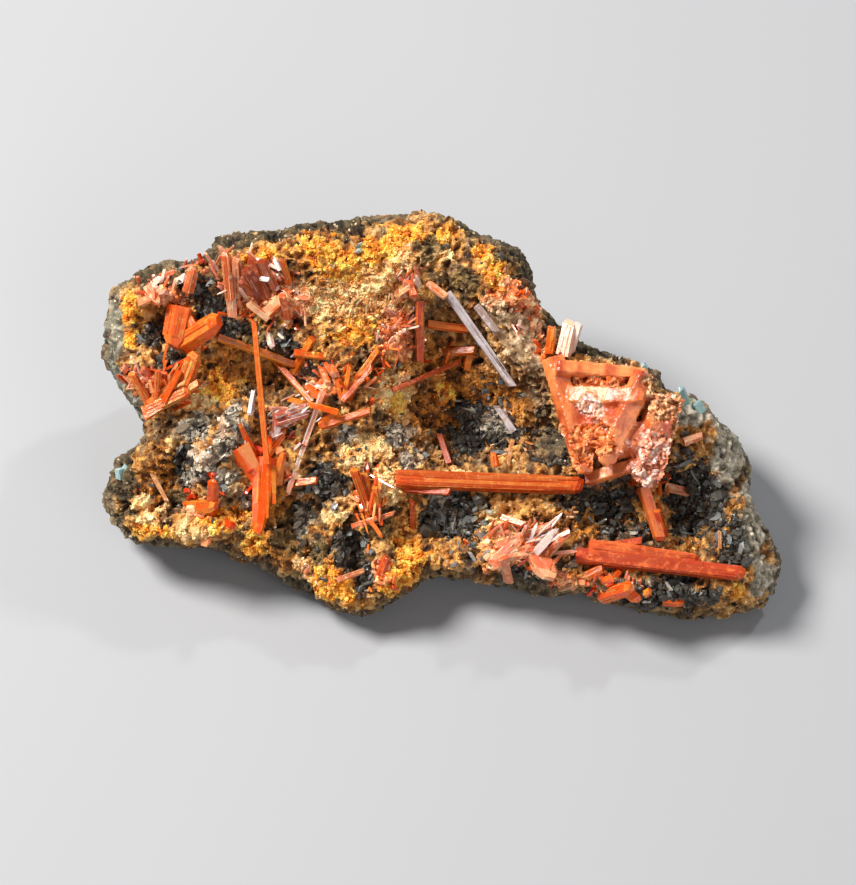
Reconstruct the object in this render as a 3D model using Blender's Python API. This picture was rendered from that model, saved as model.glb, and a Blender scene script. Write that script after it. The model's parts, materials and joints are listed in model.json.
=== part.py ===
"""Crocoite specimen: orange and red prismatic crystals grown on a cellular ochre and brown matrix.

The piece lies on its cut underside, so its crystal face slopes up and away from the viewer. Everything
on that face is placed in face millimetres: u to the right, v up the slope, and a rise above the rock.
"""

import math

import bmesh
import bpy
import numpy as np
from mathutils import Matrix, Vector, noise
from mathutils.bvhtree import BVHTree

# How the specimen lies, in metres and radians
MM = 0.001
FACE_SLOPE = math.radians(35)
FACE_RIGHT = Vector((1, 0, 0))
FACE_UP = Vector((0, math.cos(FACE_SLOPE), math.sin(FACE_SLOPE)))
FACE_OUT = FACE_RIGHT.cross(FACE_UP)
FACE_MIDDLE = Vector((-0.05, -3.83, 18.0)) * MM

# Mesh of the matrix: rings of its front, of its flanks and back, and of its flat base
SEGMENTS = 96
FRONT_RINGS = 17
BACK_RINGS = 7
BASE_RINGS = 2
RINGS = FRONT_RINGS + BACK_RINGS + BASE_RINGS

# Body of the matrix, in millimetres
BACK_DEPTH = 9.0
BACK_BULGE = 1.02
BASE_SHARE = 0.86
LOWEST_EDGE = 1.3
CLEARANCE = 0.3
DISH = 1.5
BROW = 1.1
BROW_REACH = 2.2
FLANK_DROP = 3.6
FACE_ROUGHNESS = 0.8
BACK_ROUGHNESS = 1.1

# Width of the bare outer flank, in millimetres, by direction in degrees from the right
FLANK_WIDTHS = ((0, 5.0), (60, 3.6), (90, 3.2), (150, 2.6), (200, 3.4), (270, 1.8), (330, 4.2))

# Outline of the crystal face seen square on, from the left notch clockwise
OUTLINE_CENTRE = (-1.1, -0.4)
OUTLINE = (
    (-32.5, -1.2), (-33.7, 0.6), (-34.9, 1.8), (-36.7, 4.9), (-37.6, 8.0), (-37.2, 11.9), (-36.1, 14.3),
    (-32.5, 16.6), (-28.6, 17.2), (-26.1, 17.7), (-25.1, 19.7), (-21.3, 20.6), (-17.9, 20.5), (-16.5, 21.7),
    (-12.3, 21.3), (-9.0, 21.7), (-3.9, 22.4), (-1.1, 22.6), (1.1, 22.2), (2.8, 20.6), (5.6, 19.9),
    (9.2, 18.4), (10.1, 15.8), (10.4, 13.0), (12.1, 11.0), (14.8, 8.0), (17.9, 6.8), (21.5, 6.0),
    (24.1, 4.6), (25.5, 2.9), (27.8, 1.9), (29.7, 1.2), (31.9, -1.0), (34.2, -4.9), (34.7, -9.4),
    (36.4, -12.8), (37.6, -15.6), (37.5, -18.4), (36.4, -21.2), (33.6, -22.3), (29.1, -22.0), (23.5, -22.2),
    (20.2, -21.2), (16.8, -20.0), (9.0, -18.9), (3.4, -18.0), (0.0, -17.5), (-2.8, -18.4), (-5.0, -20.6),
    (-8.4, -22.3), (-10.6, -22.5), (-12.9, -21.2), (-15.7, -18.6), (-19.0, -17.0), (-22.4, -15.6),
    (-25.2, -14.4), (-28.0, -14.4), (-31.4, -14.2), (-34.7, -13.9), (-36.4, -11.6), (-37.3, -8.8),
    (-37.0, -6.0), (-35.3, -4.4), (-33.0, -2.7),
)

# Hollows and swellings of the crystal face: middle u and v, reach along u and v, height
RELIEF = {
    "central_vug": (4.5, -0.4, 9.0, 6.7, -8.5),
    "black_hole": (12.3, -1.8, 2.4, 1.8, -4.0),
    "upper_vug": (1.1, 8.5, 5.0, 3.9, -5.0),
    "left_vug": (-19.0, 4.6, 5.0, 2.8, -4.5),
    "corner_hollow": (-31.9, 10.2, 2.6, 2.6, -2.5),
    "lobe_hollow": (-30.8, -7.7, 3.9, 4.5, -3.0),
    "brown_hollow": (-16.2, -11.6, 3.9, 3.9, -3.5),
    "dark_hollow": (-9.3, -15.6, 1.8, 3.0, -2.5),
    "low_hollow": (0.0, -13.3, 5.6, 3.4, -3.5),
    "middle_hollow": (19.6, -10.5, 3.4, 3.0, -4.5),
    "right_hollow": (28.0, -10.5, 4.5, 5.6, -4.0),
    "swelling": (20.2, -0.4, 6.7, 6.0, 1.6),
}

# Ribs that stand up from the face: start, end, half-width and height
RIBS = (
    ((-22.0, 0.8), (-25.8, -4.1), 1.8, 1.8),
    ((-25.8, -4.1), (-27.7, -7.5), 1.6, 1.5),
    ((-25.8, -4.1), (-23.3, -8.0), 1.6, 1.5),
)

# Sections: sides, depth over width, turn about the length in degrees, slant of the tip, taper
HABITS = {
    "bar": (4, 0.90, 28, 0.30, 0.94),
    "blade": (4, 0.60, 24, 0.80, 0.90),
    "needle": (4, 0.80, 35, 0.90, 0.85),
    "block": (6, 0.80, 12, 0.35, 0.92),
    "beam": (4, 0.75, 22, 0.25, 0.94),
    "spike": (6, 0.75, 12, 0.35, 0.45),
}

# Colours of the crystals in linear light, with their roughness
COLOURS = {
    "orange": ((0.78, 0.13, 0.015), 0.18),
    "red": ((0.62, 0.05, 0.012), 0.16),
    "brown": ((0.42, 0.09, 0.04), 0.30),
    "rose": ((0.72, 0.27, 0.18), 0.35),
    "grey": ((0.36, 0.31, 0.31), 0.55),
    "pale": ((0.80, 0.62, 0.56), 0.30),
}

MATRIX_COLOUR = (0.20, 0.12, 0.045)
MATRIX_ROUGHNESS = 0.9

# Crystals and grown-together clusters, the largest first: colour, habit, then each crystal as its start,
# its end and its width. A place is u, v and the rise of the crystal's middle line above the rock.
CRYSTALS = {
    "bridge_prism": ("red", "bar", (
        ((-4.9, -7.1, 0.5), (15.4, -7.8, 1.2), 2.1),
        ((-4.2, -8.2, 0.2), (1.1, -8.5, 2.2), 0.9),
    )),
    "great_prism": ("brown", "bar", (
        ((15.2, -15.6, 0.9), (33.4, -17.6, 1.2), 1.9),
        ((16.6, -15.0, 0.6), (28.3, -16.6, 0.9), 2.5),
        ((17.7, -14.8, 0.2), (22.6, -14.0, 0.6), 1.0),
    )),
    "skeletal_mass": ("rose", "beam", (
        ((12.6, 6.6, 1.2), (16.1, -5.6, 2.2), 2.8),
        ((13.0, 5.4, 1.8), (22.6, 4.6, 2.2), 2.0),
        ((22.9, 4.8, 2.0), (18.4, -4.6, 2.2), 2.9),
        ((14.6, 2.2, -0.8), (22.0, 2.0, -0.8), 2.6),
        ((16.6, 1.3, 1.0), (19.4, -1.2, 1.8), 3.0),
        ((17.8, -4.4, 1.4), (19.4, -0.6, 2.2), 1.8),
        ((25.2, 2.4, 0.0), (23.0, -6.4, 0.9), 4.5),
        ((16.4, -7.2, 1.2), (22.6, -5.2, 2.2), 1.8),
        ((15.5, -2.7, 0.0), (24.0, -2.7, 0.3), 4.6),
    )),
    "cross_prism": ("orange", "bar", (
        ((22.8, -7.9, 1.0), (24.6, -13.6, 1.2), 1.4),
        ((25.3, -13.4, 1.2), (24.3, -10.6, 2.8), 0.9),
    )),
    "ember_mass": ("red", "spike", (
        ((-22.5, -3.4, 0.8), (-19.5, -8.4, 1.0), 3.1),
        ((-19.4, -4.9, 0.8), (-20.3, -12.2, 2.2), 3.2),
        ((-20.4, -5.6, 0.2), (-17.6, -1.9, 1.0), 1.5),
        ((-20.8, -4.7, 0.2), (-22.2, -1.2, 1.0), 1.2),
        ((-18.5, -7.4, 0.4), (-17.6, -4.6, 1.6), 1.8),
    )),
    "red_block_pair": ("orange", "block", (
        ((-29.1, 12.2, 0.6), (-29.8, 8.7, 1.8), 2.9),
        ((-28.8, 8.2, 0.3), (-25.3, 10.2, 2.2), 2.7),
        ((-28.4, 11.4, 0.3), (-27.2, 9.3, 1.6), 1.2),
    )),
    "left_fan": ("orange", "bar", (
        ((-32.1, 0.5, 1.0), (-34.4, 4.7, 2.0), 1.0),
        ((-33.0, -0.2, 1.2), (-26.9, 3.7, 1.8), 0.9),
        ((-33.1, 0.4, 0.8), (-28.3, 2.6, 1.6), 1.3),
        ((-32.5, 1.3, 0.6), (-29.3, 3.9, 1.8), 1.0),
        ((-30.8, 1.5, 0.9), (-29.0, 5.0, 2.6), 0.8),
        ((-29.3, 1.6, 0.9), (-27.4, 6.5, 2.4), 1.8),
        ((-31.8, 1.6, 0.6), (-31.4, 5.0, 2.2), 0.7),
    )),
    "needle_tall": ("orange", "needle", (
        ((-19.3, -5.4, 2.6), (-20.8, 10.6, 1.4), 0.7),
    )),
    "pale_needle": ("pale", "needle", (
        ((-13.1, 2.8, 0.4), (-17.1, -8.6, 0.7), 0.7),
    )),
    "grey_needle": ("grey", "blade", (
        ((0.8, 13.8, 0.6), (8.2, 3.4, 1.4), 1.0),
    )),
    "diagonal_blade": ("orange", "blade", (
        ((-24.9, 8.8, 0.3), (-15.9, 5.6, 1.2), 1.0),
    )),
    "slant_prism": ("orange", "bar", (
        ((-19.0, 6.7, -0.4), (-14.4, 1.5, 1.0), 0.8),
    )),
    "pale_twins": ("pale", "bar", (
        ((13.8, 6.6, 0.4), (14.6, 10.2, 2.4), 1.8),
        ((14.6, 7.2, 0.4), (15.6, 10.4, 2.9), 1.1),
    )),
    "twin_prism": ("orange", "bar", (
        ((12.3, 7.0, 0.4), (12.6, 10.0, 2.2), 1.1),
    )),
    "white_sheaf": ("pale", "blade", (
        ((-18.4, 0.0, 2.6), (-15.0, 1.2, 2.0), 0.7),
        ((-18.4, -0.9, 2.2), (-14.7, 0.2, 1.4), 0.8),
        ((-18.9, -2.3, 1.6), (-15.0, -0.6, 0.8), 1.0),
        ((-18.8, -3.4, 0.9), (-15.7, -1.7, 0.3), 1.2),
        ((-18.2, 0.3, 2.5), (-18.5, -3.8, 0.9), 1.0),
    )),
    "wing_cluster": ("rose", "blade", (
        ((6.4, -14.6, 0.6), (12.5, -12.2, 2.0), 1.0),
        ((10.5, -17.2, 0.6), (14.4, -12.9, 2.6), 1.0),
        ((9.9, -13.9, 0.2), (11.8, -17.5, 1.0), 2.6),
        ((6.0, -16.8, 0.2), (9.0, -13.9, 0.8), 1.8),
        ((7.0, -15.8, 0.2), (7.7, -18.6, 0.8), 1.2),
        ((11.6, -14.6, 0.6), (12.7, -17.4, 1.6), 0.5),
        ((13.6, -15.4, 0.8), (12.1, -17.0, 1.4), 0.5),
        ((7.2, -15.5, 0.6), (11.4, -15.0, 0.8), 1.6),
    )),
    "crest_cluster_left": ("orange", "bar", (
        ((-23.4, 13.0, 0.2), (-23.9, 17.9, 1.6), 1.2),
        ((-22.7, 13.3, 0.2), (-22.7, 17.4, 2.2), 1.0),
        ((-23.4, 14.2, 0.5), (-23.2, 11.0, 1.2), 1.1),
    )),
    "crest_cluster_middle": ("red", "block", (
        ((-19.9, 12.9, 0.2), (-21.6, 16.1, 1.8), 1.5),
        ((-20.4, 13.2, 0.2), (-22.2, 14.9, 2.8), 0.7),
        ((-18.4, 14.1, 0.3), (-19.9, 17.2, 2.4), 1.0),
        ((-19.3, 13.0, 0.0), (-20.9, 17.2, 0.8), 1.4),
    )),
    "crest_cluster_right": ("rose", "bar", (
        ((-19.6, 11.3, 0.2), (-17.3, 13.3, 1.4), 1.5),
        ((-17.1, 11.0, 0.4), (-17.6, 13.4, 2.6), 0.9),
        ((-19.2, 10.9, 0.6), (-21.4, 12.6, 1.4), 0.9),
    )),
    "crest_splinter": ("orange", "blade", (
        ((-16.9, 14.8, 0.2), (-17.6, 17.4, 1.6), 0.8),
    )),
    "knot": ("orange", "bar", (
        ((-16.9, 4.4, 1.6), (-14.3, 8.7, 0.6), 0.9),
        ((-16.4, 7.1, 1.6), (-12.5, 6.6, 0.2), 0.9),
    )),
    "pale_stub_pair": ("rose", "bar", (
        ((-13.6, 5.9, 0.2), (-12.5, 3.6, 1.8), 0.8),
        ((-12.9, 6.0, 0.2), (-11.7, 4.6, 2.0), 1.1),
    )),
    "flash_blade": ("pale", "blade", (
        ((-12.9, 1.9, 0.2), (-15.2, 3.4, 1.6), 1.1),
    )),
    "crossing_prism": ("orange", "needle", (
        ((-11.4, 0.4, 2.2), (-16.9, 1.9, 3.0), 0.7),
    )),
    "amber_knot": ("orange", "bar", (
        ((-13.4, -1.2, 0.6), (-7.8, 0.6, 1.6), 0.8),
        ((-11.6, 0.5, 0.0), (-13.2, -0.9, 1.1), 1.2),
    )),
    "white_splinter": ("pale", "needle", (
        ((-21.3, 0.2, 0.2), (-21.0, 2.8, 1.0), 0.5),
    )),
    "amber_finger": ("red", "bar", (
        ((-16.6, -7.6, 0.5), (-13.8, -7.2, 1.0), 0.9),
    )),
    "ember_pair": ("red", "block", (
        ((-28.7, -10.3, 0.2), (-25.4, -10.1, 1.4), 1.6),
        ((-25.6, -11.0, 0.2), (-25.3, -7.6, 1.8), 1.4),
    )),
    "amber_fan": ("orange", "needle", (
        ((-10.9, 1.7, 0.6), (-7.6, 5.5, 1.2), 0.7),
        ((-10.8, 1.7, 0.4), (-10.1, 5.7, 1.4), 0.6),
        ((-11.0, 1.8, 0.4), (-11.6, 4.2, 1.4), 0.6),
        ((-10.1, 3.1, 0.3), (-6.9, 7.5, 1.0), 0.8),
    )),
    "fan_bottom": ("orange", "bar", (
        ((-7.8, -11.0, 0.2), (-9.6, -6.0, 2.4), 1.1),
        ((-7.3, -10.9, 0.2), (-8.6, -6.5, 1.6), 1.0),
        ((-6.8, -11.0, 0.2), (-7.3, -8.0, 1.8), 0.8),
    )),
    "pale_bar": ("pale", "needle", (
        ((-9.9, -12.4, 0.5), (-5.2, -10.9, 1.0), 0.6),
    )),
    "under_prop": ("brown", "needle", (
        ((-3.0, -12.6, 0.2), (-3.1, -9.6, 0.8), 0.7),
    )),
    "slender_red": ("brown", "needle", (
        ((1.1, -5.4, 0.4), (0.0, -2.0, 0.9), 0.8),
    )),
    "orange_stub": ("orange", "block", (
        ((6.4, -5.9, 0.1), (6.2, -4.2, 1.4), 1.1),
    )),
    "pale_splinter": ("pale", "needle", (
        ((8.3, -2.7, 0.6), (7.7, -5.6, 0.7), 0.5),
    )),
    "grey_bundle": ("grey", "needle", (
        ((8.5, -1.6, 0.2), (6.5, 1.1, 1.6), 0.8),
        ((8.1, -1.7, 0.2), (7.3, 0.7, 1.0), 0.7),
    )),
    "dull_upright": ("brown", "bar", (
        ((-2.3, 13.0, 0.0), (-2.3, 6.2, 1.4), 1.0),
    )),
    "dull_crossbar": ("brown", "bar", (
        ((-1.4, 10.4, 1.0), (3.3, 9.8, 0.6), 1.0),
    )),
    "rose_bar": ("rose", "bar", (
        ((-1.4, 14.9, 0.2), (0.7, 13.3, 1.8), 1.0),
    )),
    "grey_short": ("grey", "needle", (
        ((4.1, 12.4, 0.4), (6.4, 9.4, 1.4), 0.9),
    )),
    "amber_elbow": ("orange", "bar", (
        ((0.4, 7.2, 0.4), (4.0, 7.5, 1.2), 1.0),
        ((3.5, 7.8, 0.8), (3.0, 5.3, 0.6), 0.9),
    )),
    "thin_rod": ("brown", "needle", (
        ((-5.3, 2.9, 0.4), (2.4, 6.3, 0.9), 0.6),
    )),
    "rose_fan": ("rose", "bar", (
        ((-3.9, 15.7, 0.0), (-2.9, 13.4, 1.6), 0.9),
        ((-5.0, 13.4, 0.0), (-3.2, 14.5, 1.2), 0.8),
    )),
    "rose_stub": ("rose", "block", (
        ((27.2, -2.9, 0.4), (29.3, -2.2, 1.2), 1.0),
    )),
    "rose_spray": ("rose", "needle", (
        ((25.4, -8.0, 0.6), (28.2, -8.7, 1.0), 0.9),
        ((25.4, -7.8, 0.8), (27.4, -8.2, 1.3), 0.7),
    )),
    "under_stub": ("orange", "block", (
        ((16.4, -17.9, 0.4), (18.2, -17.0, 1.4), 1.1),
    )),
    "red_blocks": ("red", "block", (
        ((18.2, -20.2, 0.2), (21.0, -19.2, 1.0), 1.8),
        ((20.2, -19.2, 0.4), (21.9, -20.4, 2.0), 1.3),
        ((18.2, -19.7, 0.6), (20.2, -18.9, 1.2), 0.6),
    )),
    "end_on_prism": ("orange", "block", (
        ((23.2, -19.8, -0.6), (23.1, -19.7, 1.8), 1.3),
    )),
    "low_block": ("orange", "block", (
        ((25.0, -20.7, 0.1), (27.0, -20.9, 0.8), 1.2),
    )),
    "tan_prism": ("orange", "bar", (
        ((13.5, -19.3, 0.6), (15.6, -18.5, 1.2), 1.1),
    )),
    "rose_flake": ("rose", "blade", (
        ((6.9, -11.4, 0.2), (9.4, -12.2, 1.2), 0.9),
    )),
    "rose_bar_low": ("rose", "bar", (
        ((-11.4, -18.3, 0.4), (-8.6, -17.4, 0.9), 0.7),
    )),
    "ember_low": ("red", "block", (
        ((-6.7, -17.9, 0.2), (-5.9, -15.8, 1.4), 1.1),
    )),
    "rim_needle": ("pale", "needle", (
        ((31.4, -14.9, 0.2), (31.4, -12.9, 1.0), 0.5),
    )),
    "rose_crest": ("rose", "block", (
        ((-28.2, 13.9, 0.2), (-27.6, 16.1, 1.6), 1.4),
    )),
    "rose_corner": ("rose", "bar", (
        ((-33.6, 12.6, 0.2), (-31.6, 13.4, 1.4), 1.0),
        ((-32.8, 14.4, 0.2), (-31.7, 12.8, 1.6), 1.2),
    )),
    "lobe_needle": ("pale", "needle", (
        ((-32.6, -6.0, 0.3), (-30.7, -9.6, 0.7), 0.6),
    )),
}
TIPPED_WIDTH = 1.2
TIP_RISE = 0.32
TIP_SCALE = 0.55

# Past its root, a crystal's middle line clears the rock by the gap and this share of its width
LEAST_RISE = 0.1
LINE_STEPS = 10
ROOT_STEPS = 2
LINE_PASSES = 4


def clear_scene():
    for obj in list(bpy.data.objects):
        bpy.data.objects.remove(obj, do_unlink=True)


def new_collection(name):
    collection = bpy.data.collections.new(name)
    bpy.context.scene.collection.children.link(collection)
    return collection


def new_object(name, mesh, collection):
    obj = bpy.data.objects.new(name, mesh)
    collection.objects.link(obj)
    return obj


def finish_mesh(bm, name):
    bmesh.ops.recalc_face_normals(bm, faces=bm.faces)
    mesh = bpy.data.meshes.new(name)
    bm.to_mesh(mesh)
    bm.free()
    return mesh


def give_material(obj, colour, roughness):
    material = bpy.data.materials.new(obj.name)
    material.use_nodes = True
    shader = material.node_tree.nodes["Principled BSDF"]
    shader.inputs["Base Color"].default_value = (*colour, 1)
    shader.inputs["Roughness"].default_value = roughness
    shader.inputs["Metallic"].default_value = 0.0
    obj.data.materials.clear()
    obj.data.materials.append(material)


def on_face(u, v, w):
    """The point u to the right, v up and w out from the middle of the crystal face."""
    return FACE_MIDDLE + (u * FACE_RIGHT + v * FACE_UP + w * FACE_OUT) * MM


def outline_polar():
    """Directions and distances of the outline's points about its centre."""
    away = np.array(OUTLINE) - OUTLINE_CENTRE
    angles = np.arctan2(away[:, 1], away[:, 0])
    order = np.argsort(angles)
    return angles[order], np.hypot(away[:, 0], away[:, 1])[order]


OUTLINE_ANGLES, OUTLINE_RADII = outline_polar()
FLANK_ANGLES = np.radians([angle for angle, _ in FLANK_WIDTHS])
FLANK_SIZES = [width for _, width in FLANK_WIDTHS]


def outline_radius(angle):
    return float(np.interp(angle, OUTLINE_ANGLES, OUTLINE_RADII, period=2 * math.pi))


def rib_height(u, v):
    """Rounded ribs: each falls off with the distance from its own line."""
    total = 0.0
    for start, end, reach, height in RIBS:
        a = Vector(start)
        along = Vector(end) - a
        share = max(0.0, min(1.0, (Vector((u, v)) - a).dot(along) / along.length_squared))
        gap = (Vector((u, v)) - a - share * along).length
        total += height * math.exp(-((gap / reach) ** 2))
    return total


def face_height(u, v):
    """Height of the rock over the middle plane of the face, in millimetres."""
    du, dv = u - OUTLINE_CENTRE[0], v - OUTLINE_CENTRE[1]
    angle = math.atan2(dv, du)
    radius = outline_radius(angle)
    share = min(1.0, math.hypot(du, dv) / radius)
    edge = (1 - share) * radius
    flank = float(np.interp(angle, FLANK_ANGLES, FLANK_SIZES, period=2 * math.pi))
    height = -FLANK_DROP * max(0.0, 1 - edge / flank) ** 1.5
    height += BROW * math.exp(-(((edge - flank - BROW_REACH / 2) / BROW_REACH) ** 2))
    height -= DISH * (1 - share**2)
    for mid_u, mid_v, reach_u, reach_v, depth in RELIEF.values():
        away = ((u - mid_u) / reach_u) ** 2 + ((v - mid_v) / reach_v) ** 2
        height += depth * math.exp(-(away**1.5))
    height += rib_height(u, v)
    return height + FACE_ROUGHNESS * noise.fractal(Vector((u, v, 3.0)) * 0.28, 1.0, 2.0, 2)


def front_point(angle, share, grow=0.0):
    radius = (outline_radius(angle) + grow) * share
    u = OUTLINE_CENTRE[0] + radius * math.cos(angle)
    v = OUTLINE_CENTRE[1] + radius * math.sin(angle)
    return on_face(u, v, face_height(u, v) + grow)


def back_point(angle, share, grow=0.0):
    """A point of the flank and back: from the rim, straight back from the face, then down to the base."""
    rim = front_point(angle, 1.0, grow)
    middle = on_face(*OUTLINE_CENTRE, 0)
    depth = min(BACK_DEPTH * MM, (rim.z - LOWEST_EDGE * MM) / FACE_OUT.z)
    shoulder = rim - FACE_OUT * depth
    shoulder.xy = middle.xy + (shoulder.xy - middle.xy) * BACK_BULGE
    foot = Vector((*(middle.xy + (shoulder.xy - middle.xy) * BASE_SHARE), 0.0))
    point = rim.lerp(shoulder, share * 2) if share < 0.5 else shoulder.lerp(foot, share * 2 - 1)
    outward = Vector((math.cos(angle), math.sin(angle), 0.0))
    rough = BACK_ROUGHNESS * noise.fractal(point / MM * 0.22, 1.0, 2.0, 3)
    return point + outward * rough * math.sin(math.pi * share) * MM


def base_point(angle, share):
    foot = back_point(angle, 1.0)
    middle = on_face(*OUTLINE_CENTRE, 0)
    return Vector((*(foot.xy.lerp(middle.xy, share)), 0.0))


def rock_point(angle, ring, grow):
    if ring <= FRONT_RINGS:
        return front_point(angle, ring / FRONT_RINGS, grow)
    if ring <= FRONT_RINGS + BACK_RINGS:
        return back_point(angle, (ring - FRONT_RINGS) / BACK_RINGS, grow)
    return base_point(angle, (ring - FRONT_RINGS - BACK_RINGS) / BASE_RINGS)


def rock_mesh(name, grow=0.0):
    """A sphere whose rings are laid out over the front, the back and the flat base of the rock."""
    bm = bmesh.new()
    bmesh.ops.create_uvsphere(bm, u_segments=SEGMENTS, v_segments=RINGS, radius=1)
    for vert in bm.verts:
        ring = round(math.acos(max(-1.0, min(1.0, vert.co.z))) / math.pi * RINGS)
        vert.co = rock_point(math.atan2(vert.co.y, vert.co.x), ring, grow)
    return finish_mesh(bm, name)


def add_tip(bm, cap, width):
    """A smaller end facet on short sloping ones, as on a stout crystal."""
    extruded = bmesh.ops.extrude_face_region(bm, geom=[cap])["geom"]
    verts = [item for item in extruded if isinstance(item, bmesh.types.BMVert)]
    bm.faces.remove(cap)
    middle = sum((vert.co for vert in verts), Vector()) / len(verts)
    for vert in verts:
        vert.co = middle + (vert.co - middle) * TIP_SCALE
        vert.co.z += width * TIP_RISE


def middle_line(start, end, width):
    """Ends of a crystal's middle line, each raised where the rock under the line would bury it."""
    low = face_height(*start[:2]) + start[2]
    high = face_height(*end[:2]) + end[2]
    least = CLEARANCE + LEAST_RISE * width
    for step in list(range(ROOT_STEPS, LINE_STEPS + 1)) * LINE_PASSES:
        share = step / LINE_STEPS
        place = Vector(start[:2]).lerp(end[:2], share)
        need = max(0.0, face_height(*place) + least - low * (1 - share) - high * share)
        low += need * (1 - share)
        high += need * share
    return on_face(*start[:2], low), on_face(*end[:2], high)


def prism_mesh(name, start, end, width, habit, grow):
    """A straight crystal between two places: an uneven section, a slight taper and a slanted end."""
    sides, flat, turn, slant, taper = HABITS[habit]
    foot, head = middle_line(start, end, width)
    axis = (head - foot).normalized()
    out = (FACE_OUT - axis * FACE_OUT.dot(axis)).normalized()
    length = (head - foot).length + 2 * grow * MM
    half = (width / 2 + grow) * MM
    bm = bmesh.new()
    bmesh.ops.create_cone(
        bm, cap_ends=True, segments=sides, radius1=half, radius2=half * taper, depth=length
    )
    bmesh.ops.rotate(bm, verts=bm.verts, matrix=Matrix.Rotation(math.radians(turn), 3, "Z"))
    reach = max(abs(vert.co.x) for vert in bm.verts)
    for vert in bm.verts:
        vert.co.x *= half / reach
        vert.co.y *= flat * half / reach
        if vert.co.z > 0:
            vert.co.z += slant * (vert.co.x * 0.8 - vert.co.y * 0.6)
    if width >= TIPPED_WIDTH:
        cap = max(bm.faces, key=lambda face: face.calc_center_median().z)
        add_tip(bm, cap, 2 * half)
    frame = Matrix((out.cross(axis), out, axis)).transposed().to_4x4()
    frame.translation = (foot + head) / 2
    bmesh.ops.transform(bm, matrix=frame, verts=bm.verts)
    return finish_mesh(bm, name)


def apply_boolean(obj, other, operation):
    """The object's mesh after one Boolean with another mesh object."""
    modifier = obj.modifiers.new("join", "BOOLEAN")
    modifier.operation = operation
    modifier.solver = "EXACT"
    modifier.object = other
    bpy.context.view_layer.update()
    graph = bpy.context.evaluated_depsgraph_get()
    mesh = bpy.data.meshes.new_from_object(obj.evaluated_get(graph))
    obj.modifiers.clear()
    obj.data = mesh


def cluster(name, grow, collection):
    """One crystal or cluster as one closed body, each of its crystals united with the first."""
    _, habit, members = CRYSTALS[name]
    first, *rest = members
    body = new_object(name, prism_mesh(name, *first, habit, grow), collection)
    for member in rest:
        other = new_object(name + "_member", prism_mesh(name, *member, habit, grow), collection)
        apply_boolean(body, other, "UNION")
        bpy.data.objects.remove(other, do_unlink=True)
    return body


def islands(bm):
    """The connected groups of vertices of a mesh."""
    left = set(bm.verts)
    while left:
        group, front = set(), [left.pop()]
        while front:
            vert = front.pop()
            group.add(vert)
            near = {edge.other_vert(vert) for edge in vert.link_edges} & left
            left -= near
            front.extend(near)
        yield group


def keep_largest(obj):
    """Drops the crumbs that a cut leaves, so that the node is one body."""
    bm = bmesh.new()
    bm.from_mesh(obj.data)
    keep = max(islands(bm), key=spread)
    bmesh.ops.delete(bm, geom=[vert for vert in bm.verts if vert not in keep], context="VERTS")
    bm.to_mesh(obj.data)
    bm.free()


def spread(group):
    """Diagonal of the box around a group of vertices."""
    low = Vector(min(vert.co[axis] for vert in group) for axis in range(3))
    high = Vector(max(vert.co[axis] for vert in group) for axis in range(3))
    return (high - low).length


def surface_tree(obj):
    bm = bmesh.new()
    bm.from_mesh(obj.data)
    tree = BVHTree.FromBMesh(bm)
    bm.free()
    return tree


def build_matrix(collection):
    body = new_object("matrix", rock_mesh("matrix"), collection)
    body.data.shade_smooth()
    body.data.set_sharp_from_angle(angle=math.radians(40))
    give_material(body, MATRIX_COLOUR, MATRIX_ROUGHNESS)


def build_crystals(collection, cutters):
    """Each crystal is fitted to the rock and to those already placed, with a hair's gap between them."""
    rock = new_object("rock_shell", rock_mesh("rock_shell", CLEARANCE), cutters)
    placed = []
    for name in CRYSTALS:
        body = cluster(name, 0.0, collection)
        apply_boolean(body, rock, "DIFFERENCE")
        for shell, tree in placed:
            if tree.overlap(surface_tree(body)):
                apply_boolean(body, shell, "DIFFERENCE")
        keep_largest(body)
        colour, roughness = COLOURS[CRYSTALS[name][0]]
        give_material(body, colour, roughness)
        shell = cluster(name, CLEARANCE, cutters)
        placed.append((shell, surface_tree(shell)))


def clear_collection(collection):
    for obj in list(collection.objects):
        bpy.data.objects.remove(obj, do_unlink=True)
    bpy.data.collections.remove(collection)


def main():
    clear_scene()
    specimen = new_collection("crocoite_specimen")
    cutters = new_collection("cutters")
    build_matrix(specimen)
    build_crystals(specimen, cutters)
    clear_collection(cutters)


main()
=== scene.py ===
# %% [markdown]
# # A crocoite specimen on its rock
# Orange-red prisms grow in and over a hollow, crusted piece of ochre and near-black rock. The solid
# model gives every crystal and the body of the rock at true size. This script dresses them: it roughens
# the rock, colours its minerals zone by zone, facets and streaks the crystals, and grows the grains,
# lumps and needles that are too small to be solids of their own.

# %% Load the frame
import json
import math

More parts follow.
